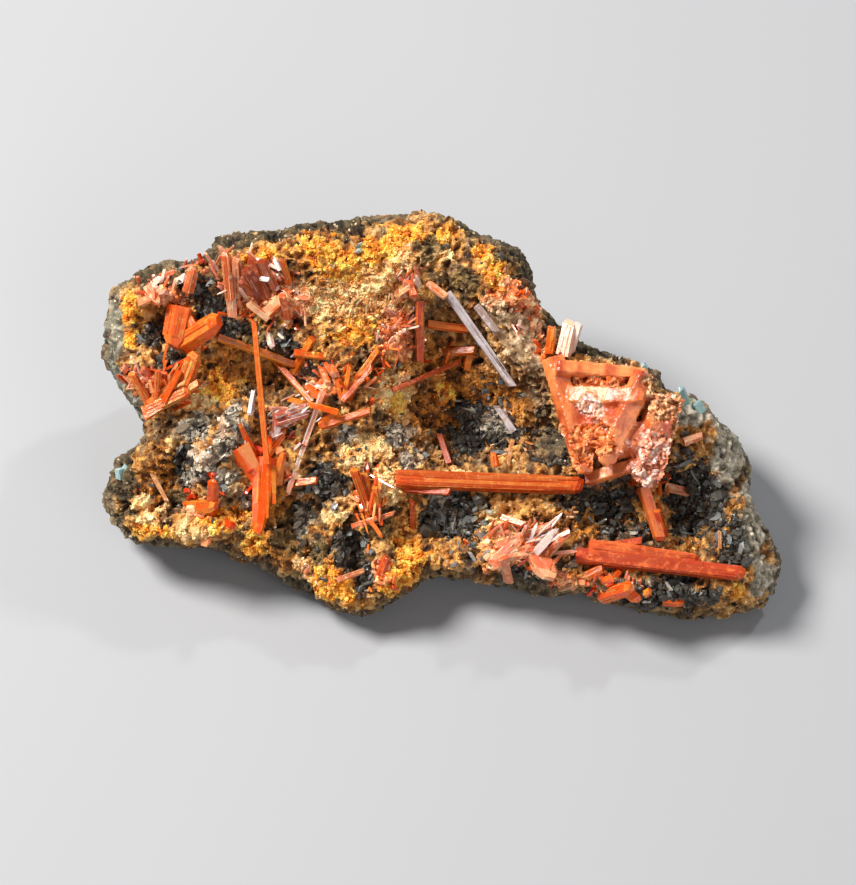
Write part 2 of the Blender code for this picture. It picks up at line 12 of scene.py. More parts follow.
import bmesh
import bpy
import numpy as np
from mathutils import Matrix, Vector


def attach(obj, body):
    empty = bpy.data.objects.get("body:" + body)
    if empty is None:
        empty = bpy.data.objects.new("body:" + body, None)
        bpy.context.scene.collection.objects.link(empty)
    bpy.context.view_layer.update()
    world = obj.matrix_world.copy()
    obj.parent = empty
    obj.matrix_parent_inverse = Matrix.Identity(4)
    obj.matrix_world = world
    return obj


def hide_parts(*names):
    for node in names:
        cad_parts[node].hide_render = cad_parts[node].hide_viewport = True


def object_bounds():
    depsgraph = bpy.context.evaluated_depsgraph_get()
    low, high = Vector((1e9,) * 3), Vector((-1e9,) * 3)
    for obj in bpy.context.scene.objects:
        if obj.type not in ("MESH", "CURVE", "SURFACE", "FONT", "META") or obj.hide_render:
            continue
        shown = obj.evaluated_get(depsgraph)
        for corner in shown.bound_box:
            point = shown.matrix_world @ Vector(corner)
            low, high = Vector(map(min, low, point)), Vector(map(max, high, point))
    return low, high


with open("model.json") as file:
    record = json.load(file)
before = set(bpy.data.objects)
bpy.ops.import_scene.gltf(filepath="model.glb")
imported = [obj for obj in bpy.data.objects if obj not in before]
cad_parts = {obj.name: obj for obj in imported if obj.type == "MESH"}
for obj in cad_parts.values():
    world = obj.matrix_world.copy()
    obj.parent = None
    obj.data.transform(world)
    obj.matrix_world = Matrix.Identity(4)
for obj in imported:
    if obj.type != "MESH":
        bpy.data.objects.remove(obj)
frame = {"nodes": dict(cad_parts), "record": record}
CAD_BOX = [list(corner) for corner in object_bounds()]
MM = 0.001
SEED = 2024
print("CAD box in mm:", np.round(np.array(CAD_BOX) / MM, 1).tolist())

# %% [markdown]
# ## A frame for the crystal face
# The rock lies as a wedge, with its crystal face sloping up at 35 degrees. Everything on that face is
# easier to place by how it is seen square on: u runs to the right, v up the slope and w out of it. Two
# small functions turn world points into these coordinates and back, for whole arrays at once.

# %% Face coordinates
SLOPE = math.radians(35)
FACE_MIDDLE = np.array((-0.05, -3.83, 18.0)) * MM
FACE_AXES = np.array(
    (
        (1, 0, 0),
        (0, math.cos(SLOPE), math.sin(SLOPE)),
        (0, -math.sin(SLOPE), math.cos(SLOPE)),
    )
)
FACE_OUT = FACE_AXES[2]


def to_face(points):
    """World points to u, v, w in millimetres: the offset from the face's middle, along each axis."""
    return (points - FACE_MIDDLE) @ FACE_AXES.T / MM


def to_world(places):
    """u, v, w in millimetres back to world points in metres."""
    return FACE_MIDDLE + np.asarray(places) @ FACE_AXES * MM


print("face middle at", FACE_MIDDLE / MM, "mm")

# %% [markdown]
# ## Noise worked out as arrays
# Natural rock is irregular at every scale. Two kinds of noise give that: soft noise, which rolls gently
# between random heights on a lattice, and cells, which give each point its distance to the nearest of
# many scattered seeds, and so make bubbles, pits and grains. Both take all points in one go.

# %% Soft noise and cells
CORNERS = np.array(np.meshgrid((0, 1), (0, 1), (0, 1))).reshape(3, -1).T
AROUND = np.array(np.meshgrid((-1, 0, 1), (-1, 0, 1), (-1, 0, 1))).reshape(3, -1).T


def hashed(lattice, seed):
    """A repeatable number from 0 to 1 for each whole-number place: its coordinates multiplied and folded."""
    x, y, z = np.moveaxis(lattice.astype(np.int64), -1, 0)
    mixed = (x * 73856093) ^ (y * 19349663) ^ (z * 83492791) ^ (seed * 40503 + 977)
    mixed = ((mixed ^ (mixed >> 13)) * 1274126177) & 0xFFFFFFFF
    mixed = ((mixed ^ (mixed >> 15)) * 2246822519) & 0xFFFFFFFF
    return ((mixed ^ (mixed >> 16)) & 0xFFFFFF) / 0x1000000


def soft_noise(points, seed=0):
    """From -1 to 1: the eight corners of each point's cell, weighted by a smooth step along each axis."""
    cell = np.floor(points)
    part = points - cell
    part = part * part * (3 - 2 * part)
    total = np.zeros(len(points))
    for corner in CORNERS:
        weight = np.prod(np.where(corner, part, 1 - part), axis=1)
        total += weight * hashed(cell + corner, seed)
    return total * 2 - 1


def layered(points, octaves=4, seed=0):
    """Soft noise summed at doubling fineness and halving height."""
    return sum(soft_noise(points * 2**k, seed + k) * 0.5**k for k in range(octaves))


def cells(points, seed=0):
    """Distance to the nearest seed, to the second nearest, and the nearest seed's own random number."""
    cell = np.floor(points)
    first = np.full(len(points), np.inf)
    second = first.copy()
    own = np.zeros(len(points))
    for step in AROUND:
        near = cell + step
        offset = np.stack([hashed(near, seed + axis) for axis in (11, 12, 13)], axis=1)
        gap = np.linalg.norm(near + offset - points, axis=1)
        closer = gap < first
        second = np.where(closer, first, np.minimum(second, gap))
        own = np.where(closer, hashed(near, seed + 14), own)
        first = np.where(closer, gap, first)
    return first, second, own


def smooth_step(value, low, high):
    """0 below low and 1 above high, with a smooth ramp between."""
    share = np.clip((value - low) / (high - low), 0, 1)
    return share * share * (3 - 2 * share)


print("noise ready")

# %% [markdown]
# ## From arrays to meshes
# Every new piece ends as a mesh filled from arrays. Its object stays at the origin, with its place in
# its vertices, so patterns that read object coordinates sit still. Each piece rides on the one body.

# %% Mesh maker
def new_piece(name, points, faces):
    """A flat-shaded object from points in metres and the corners of each face, riding on the body."""
    mesh = bpy.data.meshes.new(name)
    mesh.from_pydata(points.tolist(), [], faces.tolist() if isinstance(faces, np.ndarray) else faces)
    mesh.shade_flat()
    mesh.update()
    piece = bpy.data.objects.new(name, mesh)
    bpy.context.scene.collection.objects.link(piece)
    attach(piece, "root")
    return piece


def paint(piece, name, values):
    """A value or a colour for each vertex, kept as an attribute that a material reads."""
    if np.ndim(values) == 1:
        piece.data.attributes.new(name, "FLOAT", "POINT").data.foreach_set("value", values)
        return
    opaque = np.concatenate([values, np.ones((len(values), 1))], axis=1)
    piece.data.attributes.new(name, "FLOAT_COLOR", "POINT").data.foreach_set("color", opaque.ravel())


def linear(red, green, blue):
    """Screen colour in 0 to 255 to linear light: the usual 2.4 power curve."""
    share = (np.array((red, green, blue)) / 255 + 0.055) / 1.055
    return share**2.4


def three_tones(tones, share):
    """A colour for each share from 0 to 1: the first tone at 0, the second at a half, the third at 1."""
    low, middle, high = tones
    first = np.clip(share * 2, 0, 1)[:, None]
    second = np.clip(share * 2 - 1, 0, 1)[:, None]
    return low + (middle - low) * first + (high - middle) * second


print("mesh maker ready")

# %% [markdown]
# ## Shader maths as expressions
# A material here is a short piece of algebra on sockets. The class below wraps one socket, so that
# adding or multiplying adds a Math node, and its node method makes any other node from its settings and
# its inputs.

# %% Socket algebra
class Sock:
    """One output socket in a node tree, with arithmetic that adds Math nodes."""

    def __init__(self, tree, socket):
        self.tree = tree
        self.socket = socket

    def node(self, kind, settings=None, inputs=None, output=0):
        """A node of any type, its settings made first, then its inputs by name or number."""
        made = self.tree.nodes.new(kind)
        for key, value in (settings or {}).items():
            setattr(made, key, value)
        for key, value in (inputs or {}).items():
            if isinstance(value, Sock):
                self.tree.links.new(value.socket, made.inputs[key])
            else:
                made.inputs[key].default_value = value
        return Sock(self.tree, made.outputs[output])

    def math(self, operation, other, swap=False):
        """A Math node on this socket and another socket or number."""
        pair = (other, self) if swap else (self, other)
        return self.node("ShaderNodeMath", {"operation": operation}, dict(enumerate(pair)))

    def __add__(self, other):
        return self.math("ADD", other)

    def __sub__(self, other):
        return self.math("SUBTRACT", other)

    def __rsub__(self, other):
        return self.math("SUBTRACT", other, swap=True)

    def __mul__(self, other):
        return self.math("MULTIPLY", other)

    __radd__ = __add__
    __rmul__ = __mul__

    def ramp(self, low, high):
        """0 below low and 1 above high, with a smooth ramp between."""
        return self.node(
            "ShaderNodeMapRange",
            {"interpolation_type": "SMOOTHSTEP"},
            {"Value": self, "From Min": low, "From Max": high},
        )

    def mix(self, first, second):
        """Colours mixed with this socket as the factor."""
        return self.node(
            "ShaderNodeMix", {"data_type": "RGBA"}, {0: self, 6: first, 7: second}, output=2
        )

    def tint(self, colour):
        """This colour or vector multiplied by another."""
        return self.node("ShaderNodeVectorMath", {"operation": "MULTIPLY"}, {0: self, 1: colour})

    def brighten(self, value):
        """This colour times a single value."""
        return self.node("ShaderNodeVectorMath", {"operation": "SCALE"}, {0: self, "Scale": value})

    def noise(self, scale, detail=3.0, rough=0.6):
        """Noise from 0 to 1, with this socket as its coordinates. Scale is features per metre."""
        return self.node(
            "ShaderNodeTexNoise", {}, {"Vector": self, "Scale": scale, "Detail": detail, "Roughness": rough}
        )

    def voronoi(self, scale, output="Distance"):
        """Cells round scattered seeds: the distance to the nearest one, or its own colour."""
        return self.node("ShaderNodeTexVoronoi", {}, {"Vector": self, "Scale": scale}, output)

    def red(self):
        """The red part of a colour, as a single value."""
        return self.node("ShaderNodeSeparateColor", {}, {"Color": self})


def rgba(colour):
    """A colour with full opacity, as a colour socket takes it."""
    return (*colour, 1.0)


def new_material(name, build):
    """A Principled material: build takes the object coordinates and returns the shader's inputs."""
    material = bpy.data.materials.new(name)
    material.use_nodes = True
    tree = material.node_tree
    tree.nodes.clear()
    shader = tree.nodes.new("ShaderNodeBsdfPrincipled")
    output = tree.nodes.new("ShaderNodeOutputMaterial")
    tree.links.new(shader.outputs[0], output.inputs["Surface"])
    coords = tree.nodes.new("ShaderNodeTexCoord")
    for key, value in build(Sock(tree, coords.outputs["Object"])).items():
        if isinstance(value, Sock):
            tree.links.new(value.socket, shader.inputs[key])
        else:
            shader.inputs[key].default_value = value
    print("material", name, "with", len(tree.nodes), "nodes")
    return material


def attribute(place, name, output="Color"):
    """A painted attribute of the piece, read by name."""
    return place.node("ShaderNodeAttribute", {"attribute_name": name}, {}, output)


def bump(place, height, strength, distance):
    """A Bump node for the Normal input: distance is the relief's full height in metres."""
    return place.node(
        "ShaderNodeBump", {}, {"Height": height, "Strength": strength, "Distance": distance}
    )


print("socket algebra ready")

# %% [markdown]
# ## Camera and light first
# The photograph looks square onto the crystal face, and its perspective is taken as that of a long lens
# about half a metre away. With the rock lying on its cut, that face slopes at 35 degrees, so the camera
# stands 55 degrees above the floor. A soft key light from above and to the left throws the hollows into
# shade, a small one behind and to the right makes the facets flash, and a wide weak one in front opens
# the shadows.

# %% Camera, floor and lights
PHOTO_HEIGHT_PX = 885
PHOTO_SCALE = 0.112 * MM
CAMERA_DISTANCE = 0.46
CAMERA_AIM = to_world((-1.34, -2.97, 0.0))
SENSOR = 36.0
NEAREST_SEEN = 0.01
# Each light: its place and its width in metres, its watts and its colour.
LIGHTS = {
    "key": ((-0.36, 0.09, 0.50), 0.22, 7.4, (1.0, 0.96, 0.91)),
    "glint": ((0.26, 0.30, 0.42), 0.05, 0.8, (1.0, 1.0, 1.0)),
    "fill": ((0.30, -0.50, 0.40), 0.50, 1.5, (1.0, 0.97, 0.94)),
}
SKY_COLOUR, SKY_STRENGTH = (0.88, 0.88, 0.91), 0.22
FLOOR_HALF = 1.5
FLOOR_COLOUR, FLOOR_ROUGHNESS = (0.34, 0.35, 0.37), 0.8


def aim(obj, place, target):
    """Puts an object at a place, its -Z axis towards a target: tilted from straight down, then headed."""
    obj.location = place
    x, y, z = (target - place) / np.linalg.norm(target - place)
    obj.rotation_euler = (math.acos(-z), 0.0, math.atan2(-x, y))


def area_light(name, place, size, watts, colour):
    """A round area light that faces the middle of the floor."""
    light = bpy.data.lights.new(name, "AREA")
    light.shape = "DISK"
    light.size = size
    light.energy = watts
    light.color = colour
    lamp = bpy.data.objects.new(name, light)
    bpy.context.scene.collection.objects.link(lamp)
    aim(lamp, place, np.zeros(3))


camera_data = bpy.data.cameras.new("camera")
camera_data.sensor_width = SENSOR
camera_data.lens = SENSOR * CAMERA_DISTANCE / (PHOTO_HEIGHT_PX * PHOTO_SCALE)
camera_data.clip_start = NEAREST_SEEN
camera = bpy.data.objects.new("camera", camera_data)
bpy.context.scene.collection.objects.link(camera)
aim(camera, CAMERA_AIM + FACE_OUT * CAMERA_DISTANCE, CAMERA_AIM)
bpy.context.scene.camera = camera

for light_name, light in LIGHTS.items():
    area_light(light_name, *light)
world = bpy.data.worlds.new("studio")
world.use_nodes = True
world.node_tree.nodes["Background"].inputs["Color"].default_value = rgba(SKY_COLOUR)
world.node_tree.nodes["Background"].inputs["Strength"].default_value = SKY_STRENGTH
bpy.context.scene.world = world
bpy.context.scene.view_settings.view_transform = "Standard"

floor_points = np.array([(-1, -1, 0), (1, -1, 0), (1, 1, 0), (-1, 1, 0)]) * FLOOR_HALF
floor_mesh = bpy.data.meshes.new("floor")
floor_mesh.from_pydata(floor_points.tolist(), [], [(0, 1, 2, 3)])
floor = bpy.data.objects.new("floor", floor_mesh)
bpy.context.scene.collection.objects.link(floor)


def floor_finish(_):
    """A plain matt surface."""
    return {"Base Color": rgba(FLOOR_COLOUR), "Roughness": FLOOR_ROUGHNESS}


floor.data.materials.append(new_material("pale_floor", floor_finish))
print("lens in mm:", round(camera_data.lens, 1))

# %% [markdown]
# ## The rock's skin
# The solid rock is a smooth body with the right hollows. A fine skin is made from it in three steps:
# an even mesh by voxel remeshing, one more split of the faces that look out of the crystal face, and a
# push of every vertex along its normal. Remeshing keeps the skin one closed surface with even faces,
# which a plain subdivision of the long thin triangles would not.

# %% Even mesh from the solid rock
ROCK_VOXEL = 0.535 * MM
WELD = 0.001 * MM
LEAST_FRONT = 0.12


def merged(node):
    """The node's mesh in a bmesh, with the doubles of its loose triangles merged."""
    bm = bmesh.new()
    bm.from_mesh(frame["nodes"][node].data)
    bmesh.ops.remove_doubles(bm, verts=bm.verts, dist=WELD)
    return bm


def written(bm, mesh):
    """The mesh, filled from a bmesh that is then let go."""
    bm.to_mesh(mesh)
    bm.free()
    return mesh


def remeshed(node, voxel):
    """An evenly meshed copy of a node, by the voxel Remesh modifier."""
    mesh = written(merged(node), bpy.data.meshes.new(node + "_even"))
    holder = bpy.data.objects.new(mesh.name, mesh)
    bpy.context.scene.collection.objects.link(holder)
    remesh = holder.modifiers.new("even", "REMESH")
    remesh.mode = "VOXEL"
    remesh.voxel_size = voxel
    graph = bpy.context.evaluated_depsgraph_get()
    even = bpy.data.meshes.new_from_object(holder.evaluated_get(graph))
    bpy.data.objects.remove(holder)
    return even


def split_front(mesh):
    """Each quad that faces out of the crystal face becomes four."""
    bm = bmesh.new()
    bm.from_mesh(mesh)
    bm.normal_update()
    front = [face for face in bm.faces if face.normal.dot(FACE_OUT.tolist()) > LEAST_FRONT]
    edges = list({edge for face in front for edge in face.edges})
    bmesh.ops.subdivide_edges(bm, edges=edges, cuts=1, use_grid_fill=True)
    return written(bm, mesh)


def triangulated(mesh):
    """The mesh with every face cut into triangles."""
    bm = bmesh.new()
    bm.from_mesh(mesh)
    bmesh.ops.triangulate(bm, faces=bm.faces)
    return written(bm, mesh)


def mesh_arrays(mesh):
    """Vertices, vertex normals and triangles as arrays."""
    points = np.empty(len(mesh.vertices) * 3)
    normals = np.empty(len(mesh.vertices) * 3)
    faces = np.empty(len(mesh.polygons) * 3, np.int64)
    mesh.vertices.foreach_get("co", points)
    mesh.vertices.foreach_get("normal", normals)
    mesh.polygons.foreach_get("vertices", faces)
    return points.reshape(-1, 3), normals.reshape(-1, 3), faces.reshape(-1, 3)


rock_mesh = triangulated(split_front(remeshed("matrix", ROCK_VOXEL)))
rock_points, rock_normals, rock_faces = mesh_arrays(rock_mesh)
print("rock skin:", len(rock_points), "vertices,", len(rock_faces), "triangles")

# %% [markdown]
# ## Mineral zones
# The rock is a patchwork: bright ochre on the rims, tan granular crust below them, brown hollows, black
# oxide lumps in clusters, slate ribs and plates, and bare weathered stone outside. Each zone is a few
# soft ellipses placed on the face, and noise frays their edges so that no ellipse shows.

# %% Zones on the face
# Each ellipse: u and v of its middle, then its reach along u and along v, in millimetres.
ZONES = {
    "brown": (
        (-17.5, -12.3, 3.0, 4.4), (3.0, 2.0, 8.0, 5.0), (-0.3, 6.1, 4.6, 2.4), (-31.2, -6.6, 2.2, 3.2),
        (-24.5, 5.6, 4.0, 1.6), (-23.0, 7.6, 2.4, 1.4), (16.0, -12.0, 5.0, 2.4), (-19.6, 4.6, 2.2, 2.8),
    ),
    "olive": (
        (-1.0, 19.0, 1.9, 1.8), (2.6, 14.8, 2.2, 1.5), (-17.1, -13.0, 2.2, 2.6), (-20.6, 8.6, 2.4, 1.6),
        (-13.4, -15.0, 1.2, 2.0), (9.4, 19.0, 2.0, 1.6), (-6.6, -12.0, 1.4, 1.6), (-29.4, -9.0, 1.2, 1.2),
    ),
    "tan": (
        (-9.1, 13.8, 4.2, 2.8), (-5.8, 15.4, 2.6, 2.4), (-13.0, 12.8, 2.2, 2.2), (-5.4, 2.6, 2.2, 2.2),
        (-15.0, 13.8, 1.2, 1.8), (-33.3, -10.6, 2.2, 1.8), (-8.4, -3.6, 3.0, 2.2), (-5.4, -8.0, 1.5, 2.2),
        (-15.1, -17.4, 1.5, 1.0), (-27.6, -12.7, 1.8, 1.0), (-11.8, -11.2, 1.8, 1.0), (0.8, 18.3, 1.2, 1.1),
        (7.0, -12.6, 2.2, 2.2), (-4.6, 17.4, 2.2, 1.6), (-27.4, 2.0, 1.6, 1.6), (2.0, -7.4, 1.6, 1.2),
    ),
    "ochre": (
        (-13.7, 18.5, 2.6, 1.9), (-10.7, 16.7, 2.3, 2.0), (-7.1, 18.4, 2.3, 1.8), (-4.2, 20.6, 2.6, 1.6),
        (-9.3, 9.5, 2.6, 1.9), (-24.5, 3.3, 2.2, 1.7), (-34.4, 12.4, 1.1, 1.8), (-34.8, 9.3, 1.0, 2.0),
        (-17.5, 10.0, 0.7, 0.6), (-20.2, 18.0, 2.2, 0.7), (-32.6, -13.2, 2.8, 1.1), (-24.2, -11.5, 2.4, 1.3),
        (-20.8, -13.7, 1.4, 2.0), (-11.8, -19.0, 2.8, 2.0), (-3.4, -16.2, 1.8, 3.3), (-5.7, -18.6, 1.3, 1.2),
        (0.8, 20.8, 1.1, 1.2), (6.5, 16.4, 1.4, 2.3), (5.1, 18.6, 1.5, 1.1), (0.5, 2.8, 1.0, 1.1),
        (-4.8, 1.4, 0.9, 1.2), (33.1, -19.4, 0.9, 0.9), (30.0, -5.6, 0.9, 1.5),
    ),
    "orange": (
        (-4.9, 9.6, 2.0, 2.7), (-16.3, 12.8, 1.7, 2.0), (10.1, 13.2, 2.0, 1.8), (6.5, 13.0, 1.6, 1.2),
        (10.6, 10.4, 1.2, 1.8), (-29.4, 12.8, 1.8, 1.2), (-20.8, 14.6, 3.0, 2.6), (13.8, -18.6, 2.2, 1.0),
        (-6.6, -17.6, 1.0, 1.2), (-31.0, 3.0, 3.0, 1.8), (17.2, -1.0, 3.0, 2.8), (17.9, 4.1, 3.4, 1.3),
    ),
    "coral": (
        (10.2, 13.0, 1.7, 1.6), (11.0, 10.2, 0.9, 2.0), (8.0, 14.8, 1.1, 0.9), (-30.9, 13.8, 1.6, 1.0),
        (-21.5, 15.2, 2.0, 1.6), (-17.5, 12.4, 1.4, 1.6), (-4.6, 9.0, 1.5, 2.2), (-31.8, 2.6, 1.6, 1.0),
        (6.4, -15.8, 1.6, 1.2), (13.8, -18.4, 1.8, 0.8), (-6.4, -17.6, 0.9, 1.1), (17.6, -7.4, 1.4, 0.8),
        (-12.2, 3.4, 1.4, 1.0), (-17.4, -6.4, 1.4, 1.0), (-27.2, -10.6, 1.4, 1.0),
    ),
    "wall": ((8.9, 8.0, 2.3, 4.0), (10.8, 5.0, 1.6, 3.0), (5.8, 11.4, 1.4, 1.4)),
    "dark": (
        (-27.5, 14.1, 1.8, 1.7), (-25.8, 11.8, 1.9, 1.2), (-23.5, 10.2, 2.2, 1.1), (-32.4, 8.8, 1.4, 1.4),
        (-30.1, 6.2, 2.2, 0.9), (-17.6, 7.9, 1.8, 1.4), (-12.8, -7.6, 2.5, 2.1), (-10.1, -14.7, 2.2, 2.2),
        (-8.2, -17.7, 1.1, 2.0), (4.9, -2.2, 4.2, 2.7), (12.3, -2.0, 1.7, 2.6), (12.3, -4.2, 2.5, 1.5),
        (1.2, -10.8, 3.0, 3.2), (17.8, -8.9, 3.8, 2.5), (29.0, -9.4, 3.6, 4.6), (33.2, -15.0, 2.0, 3.2),
        (25.1, -20.0, 6.4, 1.8), (-28.6, -5.4, 1.1, 2.4), (10.0, -18.2, 3.0, 1.2), (20.6, -13.4, 3.0, 1.4),
        (3.6, 0.6, 2.4, 1.2), (-13.6, 5.2, 2.0, 1.0),
    ),
    "slate": (
        (-22.8, -1.2, 1.2, 2.4), (-27.2, -1.0, 2.1, 1.7), (-26.0, -6.8, 2.4, 1.7), (-24.2, -3.4, 1.8, 1.6),
        (-21.8, -9.3, 1.1, 1.2), (-15.5, -11.3, 0.9, 2.4), (-10.8, -2.1, 1.3, 0.9), (-4.4, -1.9, 1.8, 1.5),
        (-3.4, -4.9, 1.1, 1.1), (0.2, -9.4, 1.3, 1.6), (6.4, -1.0, 1.8, 1.6), (15.2, -15.8, 0.8, 0.9),
    ),
    "cream": ((-26.2, -4.4, 1.5, 1.1), (-24.4, -1.6, 0.6, 1.4), (-35.2, -4.6, 0.6, 0.6)),
    "moss": (
        (-26.0, 17.4, 2.6, 1.0), (-22.9, 19.5, 3.0, 1.1), (-19.4, 20.2, 2.4, 1.1), (-15.4, 21.4, 2.6, 1.0),
        (-10.6, 21.2, 1.9, 1.3), (-32.4, 15.4, 2.4, 1.0), (3.6, 21.4, 2.0, 1.0), (8.3, 18.8, 1.9, 1.9),
        (9.6, 16.4, 0.9, 1.7), (-35.6, -8.3, 1.3, 3.8), (12.8, 10.4, 0.9, 1.4), (17.0, 7.0, 3.0, 0.9),
    ),
    "stone": ((-36.4, 9.6, 1.1, 4.6), (-36.6, 4.6, 1.1, 2.6), (-34.4, 1.0, 1.2, 2.0)),
    "rim": ((32.4, -3.6, 2.0, 5.0), (35.4, -11.4, 1.7, 5.4), (28.5, 0.4, 2.2, 1.5), (36.0, -17.4, 1.3, 2.4)),
}
RIM_ZONES = ("moss", "stone", "rim")
FRAY = 0.30
ZONE_EDGE = 0.51
SOFT_EDGE, CRISP_EDGE = 0.11, 0.04


def ellipse_field(places, ellipses):
    """The strongest of some soft ellipses: exp(-0.7 d squared), with d counted in the ellipse's reach."""
    ellipses = np.array(ellipses)
    gaps = (places[:, None, :2] - ellipses[None, :, :2]) / ellipses[None, :, 2:]
    return np.exp(-0.7 * (gaps**2).sum(axis=2)).max(axis=1)


def warped(places, amount, size, seeds):
    """Places moved along each axis by layered noise of the given size, in millimetres."""
    return places + amount * np.stack([layered(places / size, 3, seed) for seed in seeds], axis=1)


def zone_mask(name, places):
    """1 inside a zone's ellipses and 0 outside, its outline bent and its edge frayed by noise."""
    field = ellipse_field(warped(places, 0.45, 1.6, (201, 207, 213)), ZONES[name])
    seed = 100 + 10 * list(ZONES).index(name)
    soft = CRISP_EDGE if name == "slate" else SOFT_EDGE
    return smooth_step(field + FRAY * layered(places / 0.9, 4, seed), ZONE_EDGE - soft, ZONE_EDGE + soft)


rock_places = to_face(rock_points)
facing = rock_normals @ FACE_OUT
behind = smooth_step(-rock_places[:, 2], 1.2, 3.2) * smooth_step(-facing, -0.75, -0.35)
zones = {name: zone_mask(name, rock_places) for name in ZONES}
zones |= {name: mask * (1 - behind) for name, mask in zones.items() if name not in RIM_ZONES}
zones["flank"] = behind * (1 - 0.55 * smooth_step(layered(rock_places / 4.5, 4, 53), 0.12, 0.42))
print({name: round(float(mask.mean()), 3) for name, mask in zones.items()})

# %% [markdown]
# ## Relief
# The skin gets its relief from several sources. Layered noise gives the broken surface and sharp crests.
# Cell walls make the boxwork of the ochre and tan crusts, pits open in it, and blocks of differing
# height make the angular oxide. Slate, bare stone and the pale crusts stay quieter than the rest. The
# relief fades out towards the flat cut underneath, because the rock rests on it.

# %% Push the skin
CUT_FADE = (0.15, 1.6)
CUT_BAND = 0.12
QUIET_SHARES = {"slate": 0.55, "wall": 0.55, "stone": 0.45, "rim": 0.4, "cream": 0.8}
bent = warped(rock_places, 0.55, 1.9, (61, 67, 73))
coarse = layered(rock_places / 3.2, 3, 1)
crest = 1 - 2 * np.abs(soft_noise(bent / 1.05, 5))
fine_crest = 1 - 2 * np.abs(soft_noise(bent / 0.50, 6))
box_near, box_next, box_own = cells(bent / 1.15, 2)
box_wall = 1 - smooth_step(box_next - box_near, 0.03, 0.42)
pit = smooth_step(0.40 - box_near, 0.0, 0.22) * (box_own > 0.45)
deep_near, _, deep_own = cells(bent / 2.6, 4)
deep_pit = smooth_step(0.42 - deep_near, 0.0, 0.22) * (deep_own > 0.6)
block_near, block_next, block_own = cells(bent / 1.25, 3)
crack = 1 - smooth_step(block_next - block_near, 0.02, 0.18)
block = block_own - 0.5 - 0.6 * crack
quiet = np.maximum.reduce([share * zones[name] for name, share in QUIET_SHARES.items()])
dark_share = zones["dark"] * (1 - zones["slate"])
detail = (1 - 0.72 * quiet) * (0.30 * (crest - 0.4) + 0.17 * (fine_crest - 0.4))
detail += (1 - quiet) * (1 - dark_share) * (0.42 * (box_wall - 0.4) - 0.55 * pit * (1 - 0.6 * zones["tan"]))
detail += 0.85 * block * dark_share
relief = 0.50 * coarse + detail - 0.9 * deep_pit * (1 - quiet) * (1 - 0.7 * zones["stone"] - 0.5 * zones["rim"])
relief *= smooth_step(rock_points[:, 2] / MM, *CUT_FADE)
skin_points = rock_points + rock_normals * relief[:, None] * MM
skin_points[:, 2] = np.maximum(skin_points[:, 2], 0.0)
skin_points[rock_points[:, 2] < CUT_BAND * MM, 2] = 0.0
print("relief from", round(relief.min(), 2), "to", round(relief.max(), 2), "mm")

# %% [markdown]
# ## Colour of the rock
# Each mineral is three colours: a darker one for its recesses, which is painted shade, one for its body,
# and a lighter one for its crests, which is a painted highlight; the relief height picks between them.
# The zones are laid over one another in the order of the list, and each small cell gets a brightness of
# its own.

# %% Paint the skin
# Each mineral: recess, body and crest colours. The darker recess colour is painted shade, the lighter crest colour a
# painted highlight.
MINERALS = {
    "ground": ((66, 36, 12), (166, 102, 38), (230, 172, 90)),
    "flank": ((23, 19, 13), (72, 62, 45), (120, 108, 84)),
    "brown": ((44, 24, 8), (136, 78, 22), (214, 138, 46)),
    "olive": ((20, 15, 8), (78, 60, 30), (142, 114, 66)),
    "tan": ((172, 106, 46), (233, 168, 90), (253, 216, 158)),
    "ochre": ((174, 78, 6), (248, 152, 28), (255, 200, 88)),
    "coral": ((158, 62, 22), (238, 134, 76), (255, 198, 152)),
    "orange": ((132, 48, 16), (228, 114, 50), (250, 180, 130)),
    "wall": ((108, 76, 48), (184, 150, 108), (236, 206, 170)),
    "dark": ((9, 8, 7), (44, 38, 31), (116, 100, 78)),
    "slate": ((38, 36, 32), (116, 111, 99), (194, 182, 162)),
    "cream": ((112, 84, 60), (204, 172, 140), (252, 238, 222)),
    "moss": ((11, 9, 5), (46, 38, 23), (98, 84, 55)),
    "stone": ((54, 52, 41), (118, 115, 98), (164, 160, 142)),
    "rim": ((66, 61, 50), (152, 145, 126), (204, 197, 180)),
}
SHADES = {name: np.array([linear(*tone) for tone in tones]) for name, tones in MINERALS.items()}
DARKEST, BRIGHTEST = 0.003, 0.92
BRIGHTEST_GRAIN, BRIGHTEST_CRYSTAL = 0.95, 0.98
SMOOTH_SHARE = 0.4


def rock_colour(places, masks, height):
    """Minerals by zone, with painted shade in the recesses and a painted highlight on the crests by relief height,
    varied by a finer noise, then each cell's own brightness.
    """
    fine = layered(places / 0.55, 3, 35)
    # The relief height moves the share: painted shade where the skin dips, painted highlight where it rises.
    share = np.clip(0.56 + 0.75 * height + 0.55 * fine + 0.16 * masks["tan"], 0, 1)
    flecked = np.clip(0.5 + 1.2 * layered(places / 0.42, 3, 37), 0, 1)
    sandy = 0.5 * smooth_step(layered(places / 1.3, 4, 39), 0.1, 0.5)
    stained = 0.75 * smooth_step(layered(places / 1.7, 4, 31), 0.05, 0.45) * (1 - 0.6 * masks["tan"])
    tint = three_tones(SHADES["ground"], share)
    tint += (three_tones(SHADES["tan"], share) - tint) * sandy[:, None]
    tint += (three_tones(SHADES["dark"], share) - tint) * stained[:, None]
    for name in [name for name in MINERALS if name in masks]:
        own_tint = three_tones(SHADES[name], flecked if name == "slate" else share)
        tint += (own_tint - tint) * (0.92 * masks[name])[:, None]
    _, _, brightness = cells(places / 0.50, 41)
    return np.clip(tint * (0.78 + 0.46 * brightness)[:, None], DARKEST, BRIGHTEST)


